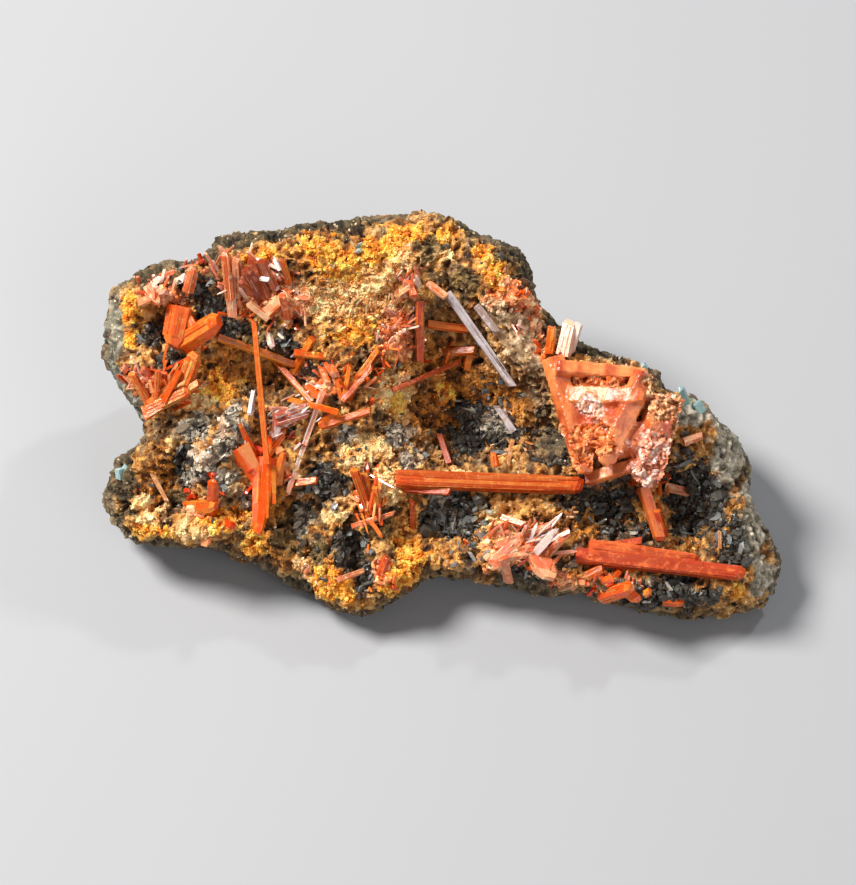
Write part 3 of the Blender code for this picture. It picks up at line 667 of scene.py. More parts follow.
skin_colour = rock_colour(rock_places, zones, detail)
rock = new_piece("rock_skin", skin_points, rock_faces)
even_ground = np.maximum.reduce([zones["wall"], zones["cream"], zones["stone"], 0.6 * zones["rim"]])
rock.data.polygons.foreach_set("use_smooth", even_ground[rock_faces].mean(axis=1) > SMOOTH_SHARE)
paint(rock, "tint", skin_colour)
paint(rock, "gloss", np.clip(zones["dark"] * 0.8 + zones["slate"] * 0.5, 0, 1))
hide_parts("matrix")


def rock_finish(place):
    """Painted mineral colour, broken up by finer grains than the mesh can hold."""
    tint = attribute(place, "tint")
    gloss = attribute(place, "gloss", "Fac")
    speck = place.voronoi(4200.0, "Color").red()
    grain = place.noise(6500.0, 4.0, 0.7)
    glint = speck.ramp(0.975, 0.99)
    height = 0.6 * grain + 0.5 * place.voronoi(3600.0) + 0.5 * place.noise(2200.0, 3.0, 0.6)
    specked = tint.brighten(0.55 + 0.5 * speck + 0.9 * (grain - 0.45))
    return {
        "Base Color": glint.mix(specked, rgba(linear(196, 172, 138))),
        "Roughness": 0.90 - 0.50 * gloss - 0.40 * glint,
        "Normal": bump(place, height, 0.6, 0.16 * MM),
    }


rock.data.materials.append(new_material("crusted_rock", rock_finish))
print("rock skin painted")

# %% [markdown]
# ## Crystal facets
# Each solid crystal is already a true prism, cut where it meets the rock. For its looks it is copied, its
# triangles are joined back into whole facets, and its edges get a narrow bevel that catches light. Real
# prisms are bundles that grew side by side, so thin laths are laid along the long facets, each in the
# plane of its facet and in the direction of its longest edge.

# %% Facets, and laths along them
EDGE_BEVEL = 0.04 * MM
FLAT_ANGLE, SHARP_ANGLE = math.radians(1), math.radians(25)
LEAST_LONG, LEAST_WIDE, LEAST_SLENDER = 1.0, 0.30, 1.6
LATH_LENGTHS, LATH_WIDTHS, LATH_THICKNESSES = (0.30, 0.92), (0.08, 0.26), (0.05, 0.18)
LATH_SLANT, LATH_RISE = 0.8, 0.12
CORNER_SIGNS = np.array([(x, y, z) for x in (-0.5, 0.5) for y in (-0.5, 0.5) for z in (-0.5, 0.5)])
BOX_FACES = np.array(((0, 1, 3, 2), (4, 6, 7, 5), (0, 4, 5, 1), (2, 3, 7, 6), (0, 2, 6, 4), (1, 5, 7, 3)))


def whole_facets(node):
    """A copy of a node's mesh: doubles merged, flat neighbours joined, sharp edges bevelled."""
    bm = merged(node)
    bmesh.ops.dissolve_limit(bm, angle_limit=FLAT_ANGLE, verts=bm.verts, edges=bm.edges)
    sharp = [edge for edge in bm.edges if edge.is_manifold and edge.calc_face_angle(0) > SHARP_ANGLE]
    bmesh.ops.bevel(bm, geom=sharp, offset=EDGE_BEVEL, segments=1, affect="EDGES", clamp_overlap=True)
    return written(bm, bpy.data.meshes.new(node + "_facets"))


def read_all(items, name, width, kind=float):
    """One property of all vertices, corners or faces as an array, in rows when it has several numbers."""
    values = np.empty(len(items) * width, kind)
    items.foreach_get(name, values)
    return values.reshape(-1, width) if width > 1 else values


def facet_frames(mesh):
    """For each facet its normal, its longest edge's direction, the one across, and its extents along both."""
    corner = read_all(mesh.loops, "vertex_index", 1, np.int64)
    starts = read_all(mesh.polygons, "loop_start", 1, np.int64)
    sizes = read_all(mesh.polygons, "loop_total", 1, np.int64)
    normals = read_all(mesh.polygons, "normal", 3)
    points = read_all(mesh.vertices, "co", 3)[corner]
    facet = np.repeat(np.arange(len(starts)), sizes)
    following = np.arange(len(corner)) + 1
    following[starts + sizes - 1] = starts
    edges = points[following] - points
    lengths = np.linalg.norm(edges, axis=1)
    longest = np.lexsort((-lengths, facet))[starts]
    along = edges[longest] / np.maximum(lengths[longest], 1e-9)[:, None]
    across = np.cross(normals, along)
    flat = np.stack([(points * along[facet]).sum(1), (points * across[facet]).sum(1)], axis=1)
    low, high = np.minimum.reduceat(flat, starts), np.maximum.reduceat(flat, starts)
    depth = (points * normals[facet]).sum(1)[starts]
    axes = {"normal": normals, "along": along, "across": across}
    return axes | {"flat": flat, "low": low, "high": high, "depth": depth}


def laths(facets, density, rng):
    """Thin boxes lying on the long facets: shares of a facet's length and width, over a third sunk in it."""
    size = (facets["high"] - facets["low"]) / MM
    long = (size[:, 0] > LEAST_LONG) & (size[:, 1] > LEAST_WIDE) & (size[:, 0] > LEAST_SLENDER * size[:, 1])
    which = np.repeat(np.flatnonzero(long), rng.poisson(density * np.prod(size[long], axis=1) ** 0.7))
    count = len(which)
    length = size[which, 0] * rng.uniform(*LATH_LENGTHS, count)
    width = size[which, 1] * rng.uniform(*LATH_WIDTHS, count)
    thick = rng.uniform(*LATH_THICKNESSES, count) * np.minimum(1, size[which, 1])
    spans = np.stack([length, width], axis=1)
    free = size[which] - spans
    middle = facets["low"][which] / MM + spans / 2 + free * rng.uniform(0, 1, (count, 2))
    local = CORNER_SIGNS[None] * np.stack([length, width, thick], axis=1)[:, None]
    local[:, :, 0] += local[:, :, 1] * rng.uniform(-LATH_SLANT, LATH_SLANT, (count, 1))
    local[:, :, :2] += middle[:, None]
    local[:, :, 2] += facets["depth"][which, None] / MM + LATH_RISE * thick[:, None]
    frames = np.stack([facets["along"][which], facets["across"][which], facets["normal"][which]], axis=1)
    points = np.einsum("nvk,nkj->nvj", local, frames) * MM
    faces = BOX_FACES[None] + (np.arange(count) * 8)[:, None, None]
    return points.reshape(-1, 3), faces.reshape(-1, 4).tolist()


print("facets and laths ready")

# %% [markdown]
# ## Crystal tones
# The crystals run from clear orange through deep red to a dull brown, and many are frosted pink, white
# or grey by a coating. Each one is given a deep and a light colour, which the finish then mixes by
# streak and by facet. Along the edges the narrow facets take the light colour as a painted highlight.

# %% Tones of the crystals
# Deep colour, then light colour, in screen values.
TONES = {
    "orange": ((226, 86, 2), (255, 160, 54)),
    "red": ((242, 88, 2), (255, 158, 62)),
    "brown": ((160, 60, 22), (228, 110, 56)),
    "ember": ((182, 56, 12), (240, 112, 46)),
    "rose": ((222, 98, 42), (255, 196, 148)),
    "pale": ((240, 148, 106), (255, 232, 216)),
    "white": ((244, 208, 196), (255, 250, 248)),
    "grey": ((146, 120, 110), (226, 218, 222)),
    "tan": ((180, 106, 58), (236, 180, 130)),
    "wine": ((158, 60, 24), (244, 150, 108)),
    "flame": ((242, 94, 2), (255, 180, 96)),
    "russet": ((212, 68, 8), (248, 132, 54)),
    "twin": ((246, 176, 146), (255, 238, 230)),
    "sheaf": ((176, 80, 54), (255, 232, 222)),
}
SLOT_TONES = {
    "orange_crystal": "orange", "deep_red_crystal": "red", "brown_red_crystal": "brown",
    "rose_crystal": "rose", "grey_coated_crystal": "grey", "pale_crystal": "pale",
}
OWN_TONES = {
    "bridge_prism": "russet", "crest_cluster_middle": "wine", "flash_blade": "orange", "pale_bar": "rose",
    "lobe_needle": "tan", "rim_needle": "tan", "pale_splinter": "tan", "grey_short": "grey",
    "rose_bar_low": "rose", "rose_fan": "rose", "ember_low": "ember", "tan_prism": "tan", "wing_cluster": "rose",
    "white_sheaf": "sheaf", "white_splinter": "white", "great_prism": "ember", "pale_twins": "twin",
    "cross_prism": "russet", "dull_upright": "russet", "dull_crossbar": "russet", "needle_tall": "russet",
    "red_block_pair": "red", "crest_cluster_left": "rose", "left_fan": "flame",
}
LATH_DENSITY = {"thin_rod": 0.5, "ember_mass": 0.5, "needle_tall": 0.6, "great_prism": 1.1, "bridge_prism": 1.4}
USUAL_DENSITY = 0.9
TONE_RANGE = (0.88, 1.1)
EDGE_WIDTH = 0.09


def crystal_piece(name, nodes, slot, material):
    """One piece for all crystals of a finish, standing for their nodes, with UV along each facet's length."""
    points, faces, deep, light = [], [], [], []
    rng = np.random.default_rng(SEED + len(name))
    used = 0
    for node in nodes:
        mesh = whole_facets(node)
        body = (read_all(mesh.vertices, "co", 3), [list(face.vertices) for face in mesh.polygons])
        extra = laths(facet_frames(mesh), LATH_DENSITY.get(node, USUAL_DENSITY), rng)
        tones = TONES[OWN_TONES.get(node, SLOT_TONES[slot])]
        tone = [linear(*colour) * rng.uniform(*TONE_RANGE) for colour in tones]
        for more_points, more_faces in (body, extra):
            points.append(more_points)
            faces += [[used + corner for corner in face] for face in more_faces]
            used += len(more_points)
            deep.append(np.tile(tone[0], (len(more_points), 1)))
            light.append(np.tile(tone[1], (len(more_points), 1)))
    piece = new_piece(name, np.concatenate(points), faces)
    paint(piece, "deep", np.clip(np.concatenate(deep), 0, BRIGHTEST_CRYSTAL))
    paint(piece, "light", np.clip(np.concatenate(light), 0, BRIGHTEST_CRYSTAL))
    facets = facet_frames(piece.data)
    width = (facets["high"] - facets["low"])[:, 1] / MM
    piece.data.uv_layers.new(name="streaks").data.foreach_set("uv", facets["flat"].ravel())
    random = hashed(np.round(facets["depth"][:, None] / MM * (7, 13, 29)), 5)
    piece.data.attributes.new("facet", "FLOAT", "FACE").data.foreach_set("value", random)
    # Facets narrower than EDGE_WIDTH millimetres get a painted highlight in the finish.
    narrow = (width < EDGE_WIDTH).astype(float)
    piece.data.attributes.new("edge", "FLOAT", "FACE").data.foreach_set("value", narrow)
    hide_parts(*nodes)
    piece.data.materials.append(material)
    print(name, "stands for", len(nodes), "nodes,", len(piece.data.polygons), "facets")


print(len(TONES), "tones ready")

# %% [markdown]
# ## Crystal finishes
# Crocoite bends light strongly and is only just see-through at this size, so its colour comes from
# light that enters, scatters and leaves again. The finish is a glossy dielectric with some light let
# through and some scattered under the surface. Streaks along the facets vary the colour and the bump.

# %% Crystal materials
FROST = linear(252, 226, 214)
REFRACTION = 1.65
SCATTER_RADIUS = (1.0, 0.35, 0.10)
STREAKS_PER_METRE = (500.0, 9000.0, 1.0)


def crystal_material(name, frost_share, rough, clear, glow):
    """Streaked glossy crystal: deep and light tones by streak and facet, a painted highlight on the narrow edge
    facets, and patches of frost.
    """

    def finish(place):
        streak_map = place.node("ShaderNodeUVMap", {"uv_map": "streaks"})
        streak = streak_map.tint(STREAKS_PER_METRE).noise(1.0, 3.0, 0.65)
        broad = place.noise(520.0, 2.0, 0.5)
        facet = attribute(place, "facet", "Fac")
        edge = attribute(place, "edge", "Fac")
        veil = place.noise(1500.0, 3.0, 0.6).ramp(0.50, 0.66)
        shade = (0.12 * streak + 0.40 * broad + 0.42 * facet + 0.22 * veil).ramp(0.36, 0.84)
        flaw = place.noise(3200.0, 3.0, 0.6).ramp(0.63, 0.72)
        frost = (place.noise(1100.0, 4.0, 0.65) + 0.22 * facet).ramp(1.02 - frost_share, 1.12 - frost_share)
        body = shade.mix(attribute(place, "deep"), attribute(place, "light"))
        body = (0.20 * flaw).mix(body, rgba(FROST))
        # Painted highlight: the narrow edge facets are mixed towards a brightened light colour.
        body = (0.6 * edge).mix(body, attribute(place, "light").brighten(1.3))
        return {
            "Base Color": (0.9 * frost).mix(body, rgba(FROST)),
            "Roughness": rough + 0.12 * broad + 0.10 * flaw + 0.40 * frost,
            "Normal": bump(place, streak + 0.2 * flaw, 0.6, 0.08 * MM),
            "IOR": REFRACTION,
            "Specular IOR Level": 0.35,
            "Transmission Weight": clear,
            "Subsurface Weight": glow,
            "Subsurface Radius": SCATTER_RADIUS,
            "Subsurface Scale": 0.5 * MM,
        }

    return new_material(name, finish)


# Each piece: its slot and its material's name, then its share of frost, roughness, clearness and glow.
FINISHES = {
    "orange_crystals": ("orange_crystal", "clear_orange_crystal", 0.10, 0.14, 0.30, 0.35),
    "deep_red_crystals": ("deep_red_crystal", "deep_red_crystal", 0.07, 0.12, 0.30, 0.35),
    "brown_red_crystals": ("brown_red_crystal", "brown_red_crystal", 0.12, 0.24, 0.15, 0.25),
    "rose_crystals": ("rose_crystal", "frosted_rose_crystal", 0.20, 0.18, 0.20, 0.3),
    "grey_coated_crystals": ("grey_coated_crystal", "grey_coated_crystal", 0.26, 0.30, 0.0, 0.05),
    "pale_crystals": ("pale_crystal", "pale_streaked_crystal", 0.24, 0.12, 0.15, 0.25),
}
SKELETAL = "skeletal_mass"
slots = {part["node"]: part["material_slot"] for part in frame["record"]["subparts"]}
for piece_name, (slot_name, *finish_values) in FINISHES.items():
    members = sorted(node for node, slot in slots.items() if slot == slot_name and node != SKELETAL)
    crystal_piece(piece_name, members, slot_name, crystal_material(*finish_values))

# %% [markdown]
# ## The skeletal crystal
# The largest group is a hollow frame of thick beams, half buried under sugary white and orange crust. It
# is the only crystal that is rough, so it gets a skin of its own: its smooth beams stay smooth, and the
# crusted parts are pushed into grains.

# %% Skin of the skeletal crystal
CRUST_PATCHES = {
    "sugar": ((16.8, 1.0, 1.3, 1.3), (17.4, -0.6, 0.6, 0.6)),
    "granule": ((17.0, -2.3, 2.4, 1.9), (16.4, -4.6, 1.6, 1.4), (13.4, -1.6, 0.7, 0.7)),
    "glitter": ((23.4, -3.8, 2.6, 2.6), (23.4, -6.4, 2.0, 2.0)),
    "porous": ((25.4, 1.4, 2.2, 2.6), (24.4, 3.6, 1.8, 1.6), (27.0, -1.4, 1.4, 2.0)),
}
CRUST_TONES = {
    "sugar": ((236, 150, 110), (250, 206, 180), (255, 244, 236)),
    "granule": ((132, 50, 12), (228, 112, 40), (250, 168, 104)),
    "glitter": ((194, 88, 48), (240, 158, 122), (255, 234, 224)),
    "porous": ((110, 52, 22), (216, 136, 80), (246, 200, 150)),
}
BEAM_DEEP, BEAM_LIGHT = linear(176, 66, 16), linear(244, 150, 84)
SKELETAL_VOXEL = 0.22 * MM

mass_points, mass_normals, mass_faces = mesh_arrays(triangulated(remeshed(SKELETAL, SKELETAL_VOXEL)))
mass_places = to_face(mass_points)
mass_fine = layered(mass_places / 0.8, 3, 81)
mass_grain, _, mass_own = cells(mass_places / 0.62, 83)
crusted = np.zeros(len(mass_points))
mass_shade = np.clip(0.42 + 0.65 * layered(mass_places / (1.2, 2.4, 1.2), 4, 85), 0, 1)
mass_colour = BEAM_DEEP + (BEAM_LIGHT - BEAM_DEEP) * mass_shade[:, None]
crust_share = np.clip(0.15 + 0.75 * mass_own + 0.3 * mass_fine, 0, 1)
for name, patches in CRUST_PATCHES.items():
    mask = smooth_step(ellipse_field(mass_places, patches) + 0.3 * mass_fine, 0.40, 0.60)
    crust_colour = three_tones([linear(*tone) for tone in CRUST_TONES[name]], crust_share)
    mass_colour = mass_colour + (crust_colour - mass_colour) * mask[:, None]
    crusted = np.maximum(crusted, mask)
mass_near, mass_next, mass_height = cells(mass_places / 0.66, 87)
mass_crack = 1 - smooth_step(mass_next - mass_near, 0.02, 0.22)
rough_push = 0.42 * (mass_height - 0.75) - 0.30 * mass_crack + 0.34 * mass_fine - 0.2 * mass_grain
push = crusted * rough_push + 0.05 * mass_fine
# Painted shade: the crust is darkened in the cracks between its grains.
mass_colour = mass_colour * (1 - 0.4 * crusted * mass_crack)[:, None]
mass_skin = mass_points + mass_normals * push[:, None] * MM
mass = new_piece("skeletal_crystal", mass_skin, mass_faces)
paint(mass, "tint", np.clip(mass_colour, 0.01, 0.96))
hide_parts(SKELETAL)


def mass_finish(place):
    """Painted colour under a fine grain, glossier in its dips, with a little light scattered inside."""
    grain = place.noise(4200.0, 3.0, 0.6)
    return {
        "Base Color": attribute(place, "tint").brighten(0.72 + 0.56 * grain),
        "Roughness": 0.22 + 0.30 * grain,
        "Normal": bump(place, grain, 0.4, 0.08 * MM),
        "Subsurface Weight": 0.2,
        "Subsurface Radius": (1.0, 0.4, 0.15),
        "Subsurface Scale": 0.3 * MM,
        "IOR": REFRACTION,
    }


mass.data.materials.append(new_material("crusted_crystal", mass_finish))
print("skeletal crystal:", len(mass_faces), "triangles")

# %% [markdown]
# ## Small things by the thousand
# Grains, oxide lumps and fine needles are the same few shapes over and over, each turned, stretched
# and dented differently. One template is a short closed tube of rings between two poles: with round
# rings it is a grain, with straight sides a needle. All copies of it are made in one array sum.

# %% Templates and scattering
def ring_faces(rings, sides):
    """Triangles of a closed tube: a pole, rings of points from low to high, and a pole."""
    here = np.arange(sides)
    after = (here + 1) % sides
    low = np.stack([np.zeros(sides, int), 1 + after, 1 + here], axis=1)
    bands = []
    for ring in range(rings - 1):
        a, b = 1 + ring * sides + here, 1 + ring * sides + after
        bands += [np.stack([a, b, b + sides], axis=1), np.stack([a, b + sides, a + sides], axis=1)]
    top = 1 + (rings - 1) * sides
    high = np.stack([np.full(sides, top + sides), top + here, top + after], axis=1)
    return np.concatenate([low, *bands, high])


def ring_points(heights, radii, sides):
    """Points of that tube: each ring at its height with its radius, and a pole at each end."""
    angle = np.arange(sides) / sides * 2 * np.pi
    circle = np.stack([np.cos(angle), np.sin(angle), np.zeros(sides)], axis=1)
    rings = [circle * radius + (0, 0, height) for height, radius in zip(heights[1:-1], radii[1:-1])]
    return np.concatenate([[(0, 0, heights[0])], *rings, [(0, 0, heights[-1])]])


# Each template: ring heights and radii, then how many sides.
GRAIN = (ring_points((-1, -0.6, 0.1, 0.7, 1), (0, 0.8, 1, 0.7, 0), 6), ring_faces(3, 6))
CRUMB = (ring_points((-1, -0.5, 0.6, 1), (0, 0.9, 0.8, 0), 5), ring_faces(2, 5))
NEEDLE = (ring_points((0, 0, 0.9, 1.0), (0, 1, 0.9, 0), 4), ring_faces(2, 4))
PLATE = (ring_points((-0.8, -0.7, 0.7, 0.8), (0, 0.9, 1.0, 0), 6), ring_faces(2, 6))


def unit(vectors):
    """Each row divided by its length."""
    return vectors / np.linalg.norm(vectors, axis=1, keepdims=True)


def on_surface(points, faces, count, weight, rng):
    """Random points of a mesh, likelier where the weight is high, their normals and a vertex beside each."""
    corners = points[faces]
    cross = np.cross(corners[:, 1] - corners[:, 0], corners[:, 2] - corners[:, 0])
    chance = np.linalg.norm(cross, axis=1) * weight[faces].mean(axis=1)
    picked = rng.choice(len(faces), count, p=chance / chance.sum())
    share = rng.dirichlet((1, 1, 1), count)
    place = (corners[picked] * share[:, :, None]).sum(axis=1)
    return place, unit(cross[picked]), faces[picked, 0]


def turned(axis, rng):
    """Frames whose third axis is the given one, with a random turn about it."""
    side = unit(np.cross(rng.normal(size=axis.shape), axis))
    return np.stack([side, np.cross(axis, side), axis], axis=1)


def scatter(name, template, place, frames, sizes, dent, colours, rng, material):
    """A piece of template copies: each point dented, sized along its frame's axes, moved to its place, and
    held inside the solid model's box."""
    points, faces = template
    count = len(place)
    local = np.tile(points, (count, 1, 1)) * (1 + dent * rng.uniform(-1, 1, (count, len(points), 1)))
    world_points = np.einsum("nvk,nkj->nvj", local * sizes[:, None, :] * MM, frames) + place[:, None, :]
    world_points = np.clip(world_points, *np.array(CAD_BOX))
    all_faces = faces[None] + (np.arange(count) * len(points))[:, None, None]
    piece = new_piece(name, world_points.reshape(-1, 3), all_faces.reshape(-1, 3))
    tints = np.clip(colours, DARKEST, BRIGHTEST_GRAIN)
    paint(piece, "tint", np.repeat(tints, len(points), axis=0))
    piece.data.materials.append(material)
    print(name, count, "copies,", len(piece.data.polygons), "triangles")


print("templates:", len(GRAIN[1]), len(CRUMB[1]), len(NEEDLE[1]), len(PLATE[1]), "triangles")

# %% [markdown]
# ## Grains of the crust
# The ochre and tan crusts are made of loose grains a tenth or two of a millimetre across, and the oxide
# of small shiny lumps and plates that grow in bunches. A grain takes the colour of the skin below it
# with a small change of brightness, so it looks grown from the crust and not dropped on it.

# %% Grains, lumps and plates
def grain_finish(rough, glints):
    """The grain's own colour and roughness, each varied by the same fine noise."""

    def finish(place):
        grain = place.noise(5200.0, 3.0, 0.65)
        return {
            "Base Color": attribute(place, "tint").brighten(0.65 + 0.7 * grain),
            "Roughness": rough + glints * (grain - 0.5),
            "Normal": bump(place, grain, 0.5, 0.10 * MM),
        }

    return finish


DULL_GRAIN = new_material("dull_grains", grain_finish(0.8, 0.3))
CORAL_GRAIN = new_material("coral_grains", grain_finish(0.32, 0.4))
SHINY_GRAIN = new_material("shiny_oxide", grain_finish(0.38, 0.5))
bare = np.maximum.reduce([zones[name] for name in ("flank", "slate", "stone", "rim")])
front = smooth_step(facing, -0.1, 0.4) * (1 - 0.9 * bare)
DARK_TONE, SLATE_TONE = linear(60, 56, 50), linear(112, 114, 112)


def crust(name, template, count, weight, size, shape, material, own=None, dent=0.3):
    """Grains over the skin where the weight is high. Shape holds their proportions, the last along the normal."""
    rng = np.random.default_rng(SEED + count)
    place, normal, under = on_surface(skin_points, rock_faces, count, weight, rng)
    sizes = size * np.exp(rng.normal(0, 0.38, (count, 1))) * rng.uniform(0.6, 1.3, (count, 3)) * shape
    axis = unit(normal + 0.6 * rng.normal(size=normal.shape))
    place = place + normal * (0.25 * sizes[:, 2:] * MM)
    base = skin_colour[under] if own is None else np.tile(own, (count, 1))
    colours = base * rng.uniform(0.7, 1.4, (count, 1))
    scatter(name, template, place, turned(axis, rng), sizes, dent, colours, rng, material)


on_ochre = (zones["ochre"] + 0.03) * front
on_tan = (zones["tan"] + zones["orange"] + 0.10 * (1 - dark_share)) * front
on_brown = (0.3 + zones["brown"] + 0.5 * dark_share) * front
on_coral = (zones["coral"] + 0.12 * zones["orange"]) * front
on_dark = (dark_share + 0.01) * front
on_ribs = (0.3 * zones["slate"] + 0.12 * dark_share) * front
on_slate = zones["slate"] * np.clip(facing, 0, 1)
# Each crust: its name, template, count, weight, size in millimetres, proportions, material and own colour.
crust("ochre_grains", CRUMB, 9600, on_ochre, 0.098, (1.2, 0.8, 1.1), DULL_GRAIN)
crust("tan_grains", CRUMB, 9200, on_tan, 0.105, (1.3, 0.7, 1.0), DULL_GRAIN)
crust("brown_grains", CRUMB, 5200, on_brown, 0.115, (1.0, 1.0, 1.0), DULL_GRAIN)
crust("coral_lumps", GRAIN, 2400, on_coral, 0.20, (1.2, 0.9, 1.2), CORAL_GRAIN)
crust("oxide_blocks", GRAIN, 200, dark_share * front, 0.42, (1.2, 0.9, 0.8), SHINY_GRAIN, DARK_TONE, 0.2)
crust("oxide_lumps", GRAIN, 2500, on_dark, 0.20, (1.1, 0.9, 1.0), SHINY_GRAIN, DARK_TONE)
crust("oxide_plates", PLATE, 600, on_dark, 0.36, (1.2, 0.8, 0.3), SHINY_GRAIN, DARK_TONE)
crust("slate_plates", PLATE, 150, on_ribs, 0.50, (1.3, 0.8, 0.2), SHINY_GRAIN, SLATE_TONE)
crust("slate_scales", PLATE, 1100, on_slate, 0.22, (1.3, 0.9, 0.35), CORAL_GRAIN)

# %% [markdown]
# ## Sprays of small crystals
# Around the large crystals stand more than a thousand small ones: stubs beside the red blocks, pink
# shards up the slope, tangles on the left crest. A few white ones stand for light, as painted glints and
# a painted reflection on the larger crystals. Each spray is a spot on the face with the way its crystals
# point, and how widely they fan. They stand only where the skin faces the front, so that none grows on
# the back, and they are all made in one pass from the needle template.

# %% Small crystals
SPRAY_TONES = {
    "orange": ((236, 92, 22), (248, 126, 48), (222, 80, 26), (250, 164, 104)),
    "red": ((238, 76, 14), (246, 98, 28), (220, 62, 16), (248, 150, 96)),
    "rose": ((236, 138, 100), (244, 170, 138), (252, 214, 194), (222, 114, 72)),
    "wine": ((168, 60, 34), (206, 88, 52), (240, 150, 116), (254, 232, 224)),
    # White: pale crystals, and also the painted glints and the painted reflection among the sprays.
    "white": ((250, 226, 216), (246, 206, 190), (236, 160, 130), (252, 238, 232)),
    "tan": ((216, 152, 88), (184, 114, 56), (240, 200, 148), (204, 130, 70)),
    "grey": ((132, 134, 130), (98, 100, 98), (168, 166, 156), (72, 74, 76)),
    "aqua": ((150, 184, 184), (168, 196, 190), (186, 200, 158), (160, 188, 186)),
}
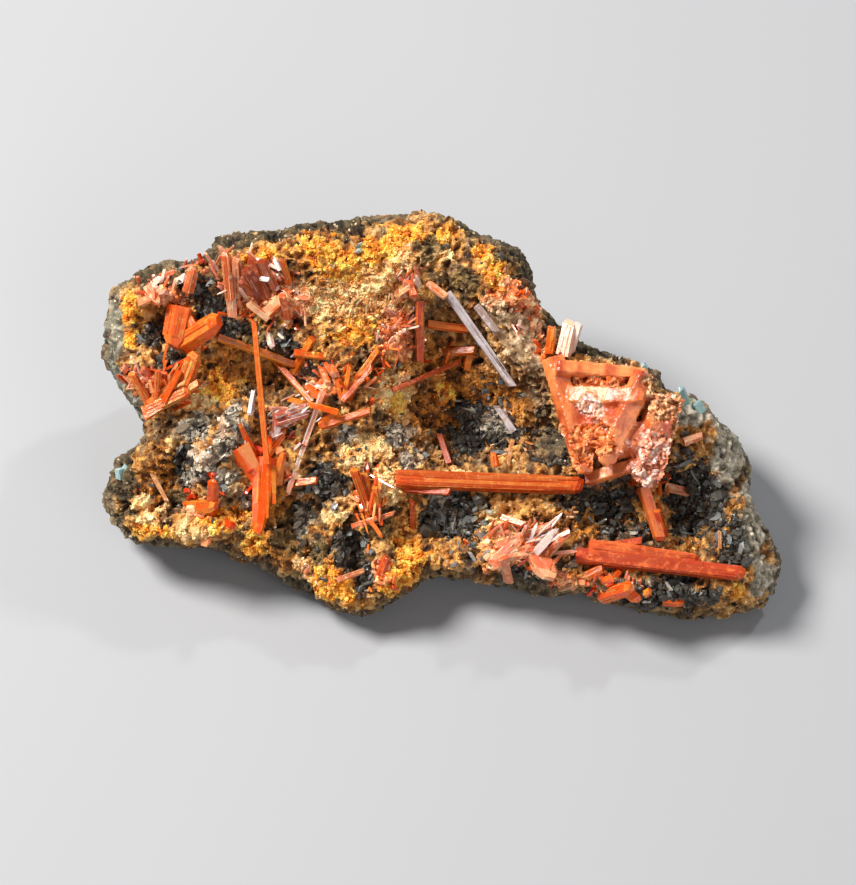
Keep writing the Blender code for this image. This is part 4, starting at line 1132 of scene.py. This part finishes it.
# Each spray: u, v, reach u, reach v, how many, heading and fan in degrees, length and width in mm, tone.
SPRAYS = (
    (-31.4, 3.5, 2.8, 1.8, 44, 50, 40, 2.1, 0.46, "orange"), (-33.4, 3.6, 1.3, 2.0, 16, 100, 30, 1.9, 0.55, "rose"),
    (-31.5, 13.8, 1.5, 1.2, 22, 80, 60, 1.5, 0.60, "rose"), (-29.0, 9.8, 1.8, 1.6, 18, 60, 70, 1.3, 0.60, "red"),
    (-22.6, 15.6, 1.7, 2.0, 34, 105, 35, 2.2, 0.50, "rose"), (-19.4, 15.2, 2.2, 1.8, 34, 60, 80, 1.8, 0.55, "wine"),
    (-17.4, 12.0, 1.6, 2.0, 26, -60, 50, 1.8, 0.50, "rose"), (-21.6, 12.0, 1.6, 1.2, 20, 90, 60, 1.5, 0.50, "orange"),
    # The white spray at u -18.8, v 16.2 is painted glints in the top-left cluster.
    (-18.8, 16.2, 1.8, 1.2, 12, -40, 25, 1.7, 0.45, "white"), (-27.6, 16.6, 1.2, 0.8, 12, 70, 60, 1.1, 0.50, "wine"),
    (-17.0, 6.6, 1.6, 1.6, 16, -50, 50, 1.6, 0.40, "wine"), (-16.2, 0.6, 2.4, 1.0, 20, 15, 16, 3.0, 0.32, "white"),
    (-17.9, -1.8, 1.2, 1.4, 18, 35, 22, 2.4, 0.36, "wine"), (-9.6, 3.8, 2.2, 1.6, 24, 55, 35, 2.0, 0.40, "orange"),
    # The three white slabs at u -14.6, v 3.2 are a painted reflection on the flash blade.
    (-14.0, 4.6, 1.2, 1.4, 10, 120, 50, 1.4, 0.40, "rose"), (-14.6, 3.2, 0.3, 0.3, 3, -22, 6, 2.3, 0.75, "white"),
    (-4.6, 9.4, 1.8, 2.6, 46, 75, 40, 1.9, 0.34, "rose"), (-3.4, 14.8, 1.3, 1.6, 22, 100, 35, 1.9, 0.42, "rose"),
    (-7.2, 12.2, 3.4, 2.8, 150, 75, 50, 0.9, 0.20, "tan"), (-12.4, 13.4, 3.0, 2.6, 110, 80, 50, 0.9, 0.20, "tan"),
    (-5.6, 6.8, 1.6, 1.4, 16, 60, 50, 1.5, 0.36, "orange"), (10.0, 13.0, 1.9, 1.7, 12, 70, 90, 0.9, 0.50, "orange"),
    (9.8, 10.4, 1.4, 1.8, 8, 80, 60, 0.9, 0.45, "rose"), (7.0, 14.6, 1.2, 1.2, 8, 100, 80, 0.9, 0.40, "rose"),
    (-8.0, -9.3, 1.8, 2.8, 24, -60, 22, 2.6, 0.46, "orange"), (-6.2, -17.6, 1.0, 1.2, 20, 90, 90, 0.9, 0.50, "orange"),
    (-26.4, -9.8, 1.9, 1.6, 18, 60, 80, 1.1, 0.80, "red"), (-20.4, -5.0, 2.0, 2.6, 22, -70, 50, 1.8, 0.70, "red"),
    (-17.6, -6.6, 1.6, 0.8, 10, 10, 30, 1.6, 0.50, "orange"), (-15.2, -18.2, 1.6, 1.0, 12, 30, 50, 1.0, 0.30, "rose"),
    (8.2, -14.4, 2.4, 2.0, 40, 40, 40, 2.3, 0.40, "rose"), (10.6, -15.0, 1.2, 0.8, 14, 36, 8, 4.4, 0.50, "white"),
    (10.4, -15.6, 1.6, 0.9, 22, 36, 30, 1.7, 0.55, "orange"), (-30.6, 2.2, 1.8, 1.0, 14, 30, 14, 3.0, 0.40, "orange"),
    (6.4, -16.4, 1.8, 1.4, 20, 110, 60, 1.3, 0.40, "orange"), (13.6, -17.4, 1.8, 1.0, 18, 60, 80, 1.2, 0.45, "tan"),
    (18.6, -17.6, 2.4, 1.4, 28, 30, 70, 1.3, 0.75, "red"), (21.6, -19.0, 1.8, 1.0, 16, 60, 80, 1.0, 0.55, "rose"),
    (22.4, -6.6, 1.8, 1.6, 28, -40, 60, 1.4, 0.34, "red"), (24.4, -8.4, 1.0, 1.4, 12, -60, 40, 1.6, 0.34, "orange"),
    (11.8, 7.4, 0.8, 0.8, 6, 70, 30, 1.4, 0.60, "orange"), (15.6, -10.6, 1.4, 1.2, 12, 40, 80, 1.4, 0.40, "tan"),
    (6.6, -3.4, 1.8, 2.6, 16, -50, 40, 1.9, 0.34, "tan"), (0.6, 6.4, 2.4, 2.0, 14, 70, 60, 1.5, 0.40, "orange"),
    (2.4, -12.6, 2.4, 3.2, 40, 60, 80, 1.3, 0.60, "grey"), (19.8, -11.2, 2.6, 2.0, 24, 60, 80, 1.2, 0.50, "grey"),
    (-12.4, -8.0, 2.0, 1.8, 20, 60, 90, 1.2, 0.60, "grey"), (4.4, 1.6, 3.4, 2.0, 26, 80, 90, 1.2, 0.50, "grey"),
    (28.6, -8.8, 3.2, 4.2, 34, 60, 90, 0.8, 0.35, "grey"), (26.0, -20.0, 4.6, 1.4, 30, 60, 90, 0.7, 0.35, "grey"),
    (-35.9, -6.7, 0.3, 0.5, 3, 70, 12, 1.5, 1.00, "aqua"), (23.0, 4.7, 0.3, 0.3, 2, 150, 30, 1.3, 1.00, "aqua"),
    (27.9, 1.1, 0.6, 0.5, 3, 150, 30, 1.6, 1.30, "aqua"), (-9.4, 18.6, 0.2, 0.3, 2, 80, 30, 1.0, 0.80, "aqua"),
)
HEADED_OUT, HEADED_BY_SKIN = 0.55, 0.35
BURIED = 0.22
facing_front = front * smooth_step(facing, 0.15, 0.45)


def needle_finish(place):
    """The crystal's own colour with faint streaks, glossy and a little see-through."""
    streak = place.noise(2600.0, 2.0, 0.6)
    return {
        "Base Color": attribute(place, "tint").brighten(0.7 + 0.6 * streak),
        "Roughness": 0.12 + 0.25 * streak,
        "Normal": bump(place, streak, 0.3, 0.06 * MM),
        "IOR": REFRACTION,
        "Transmission Weight": 0.10,
        "Subsurface Weight": 0.4,
        "Subsurface Radius": SCATTER_RADIUS,
        "Subsurface Scale": 0.3 * MM,
    }


def spray_arrays(row, rng):
    """Roots, directions, sizes and colours of one spray's crystals."""
    u, v, reach_u, reach_v, count, heading, fan, length, width, tone = row
    gap = ((rock_places[:, :2] - (u, v)) / (reach_u, reach_v)) ** 2
    weight = np.exp(-gap.sum(axis=1)) * facing_front
    place, normal, _ = on_surface(skin_points, rock_faces, count, weight, rng)
    angle = np.radians(heading + fan * rng.normal(size=count))
    flat = np.stack([np.cos(angle), np.sin(angle), HEADED_OUT + 0.25 * rng.normal(size=count)], axis=1)
    axis = unit(unit(flat @ FACE_AXES) + HEADED_BY_SKIN * normal)
    long = length * np.exp(rng.normal(0, 0.32, count))
    wide = width * np.exp(rng.normal(0, 0.30, count)) / 2
    sizes = np.stack([wide, wide * rng.uniform(0.45, 0.9, count), long], axis=1)
    tones = np.array([linear(*colour) for colour in SPRAY_TONES[tone]])
    colours = tones[rng.integers(0, len(tones), count)] * rng.uniform(0.8, 1.12, (count, 1))
    return place - axis * (BURIED * long * MM)[:, None], axis, sizes, colours


spray_rng = np.random.default_rng(SEED)
SLIVER = new_material("small_crystals", needle_finish)
roots, axes, sizes, colours = map(np.concatenate, zip(*(spray_arrays(row, spray_rng) for row in SPRAYS)))
turns = turned(axes, spray_rng)
scatter("small_crystals", NEEDLE, roots, turns, sizes, 0.08, colours, spray_rng, SLIVER)
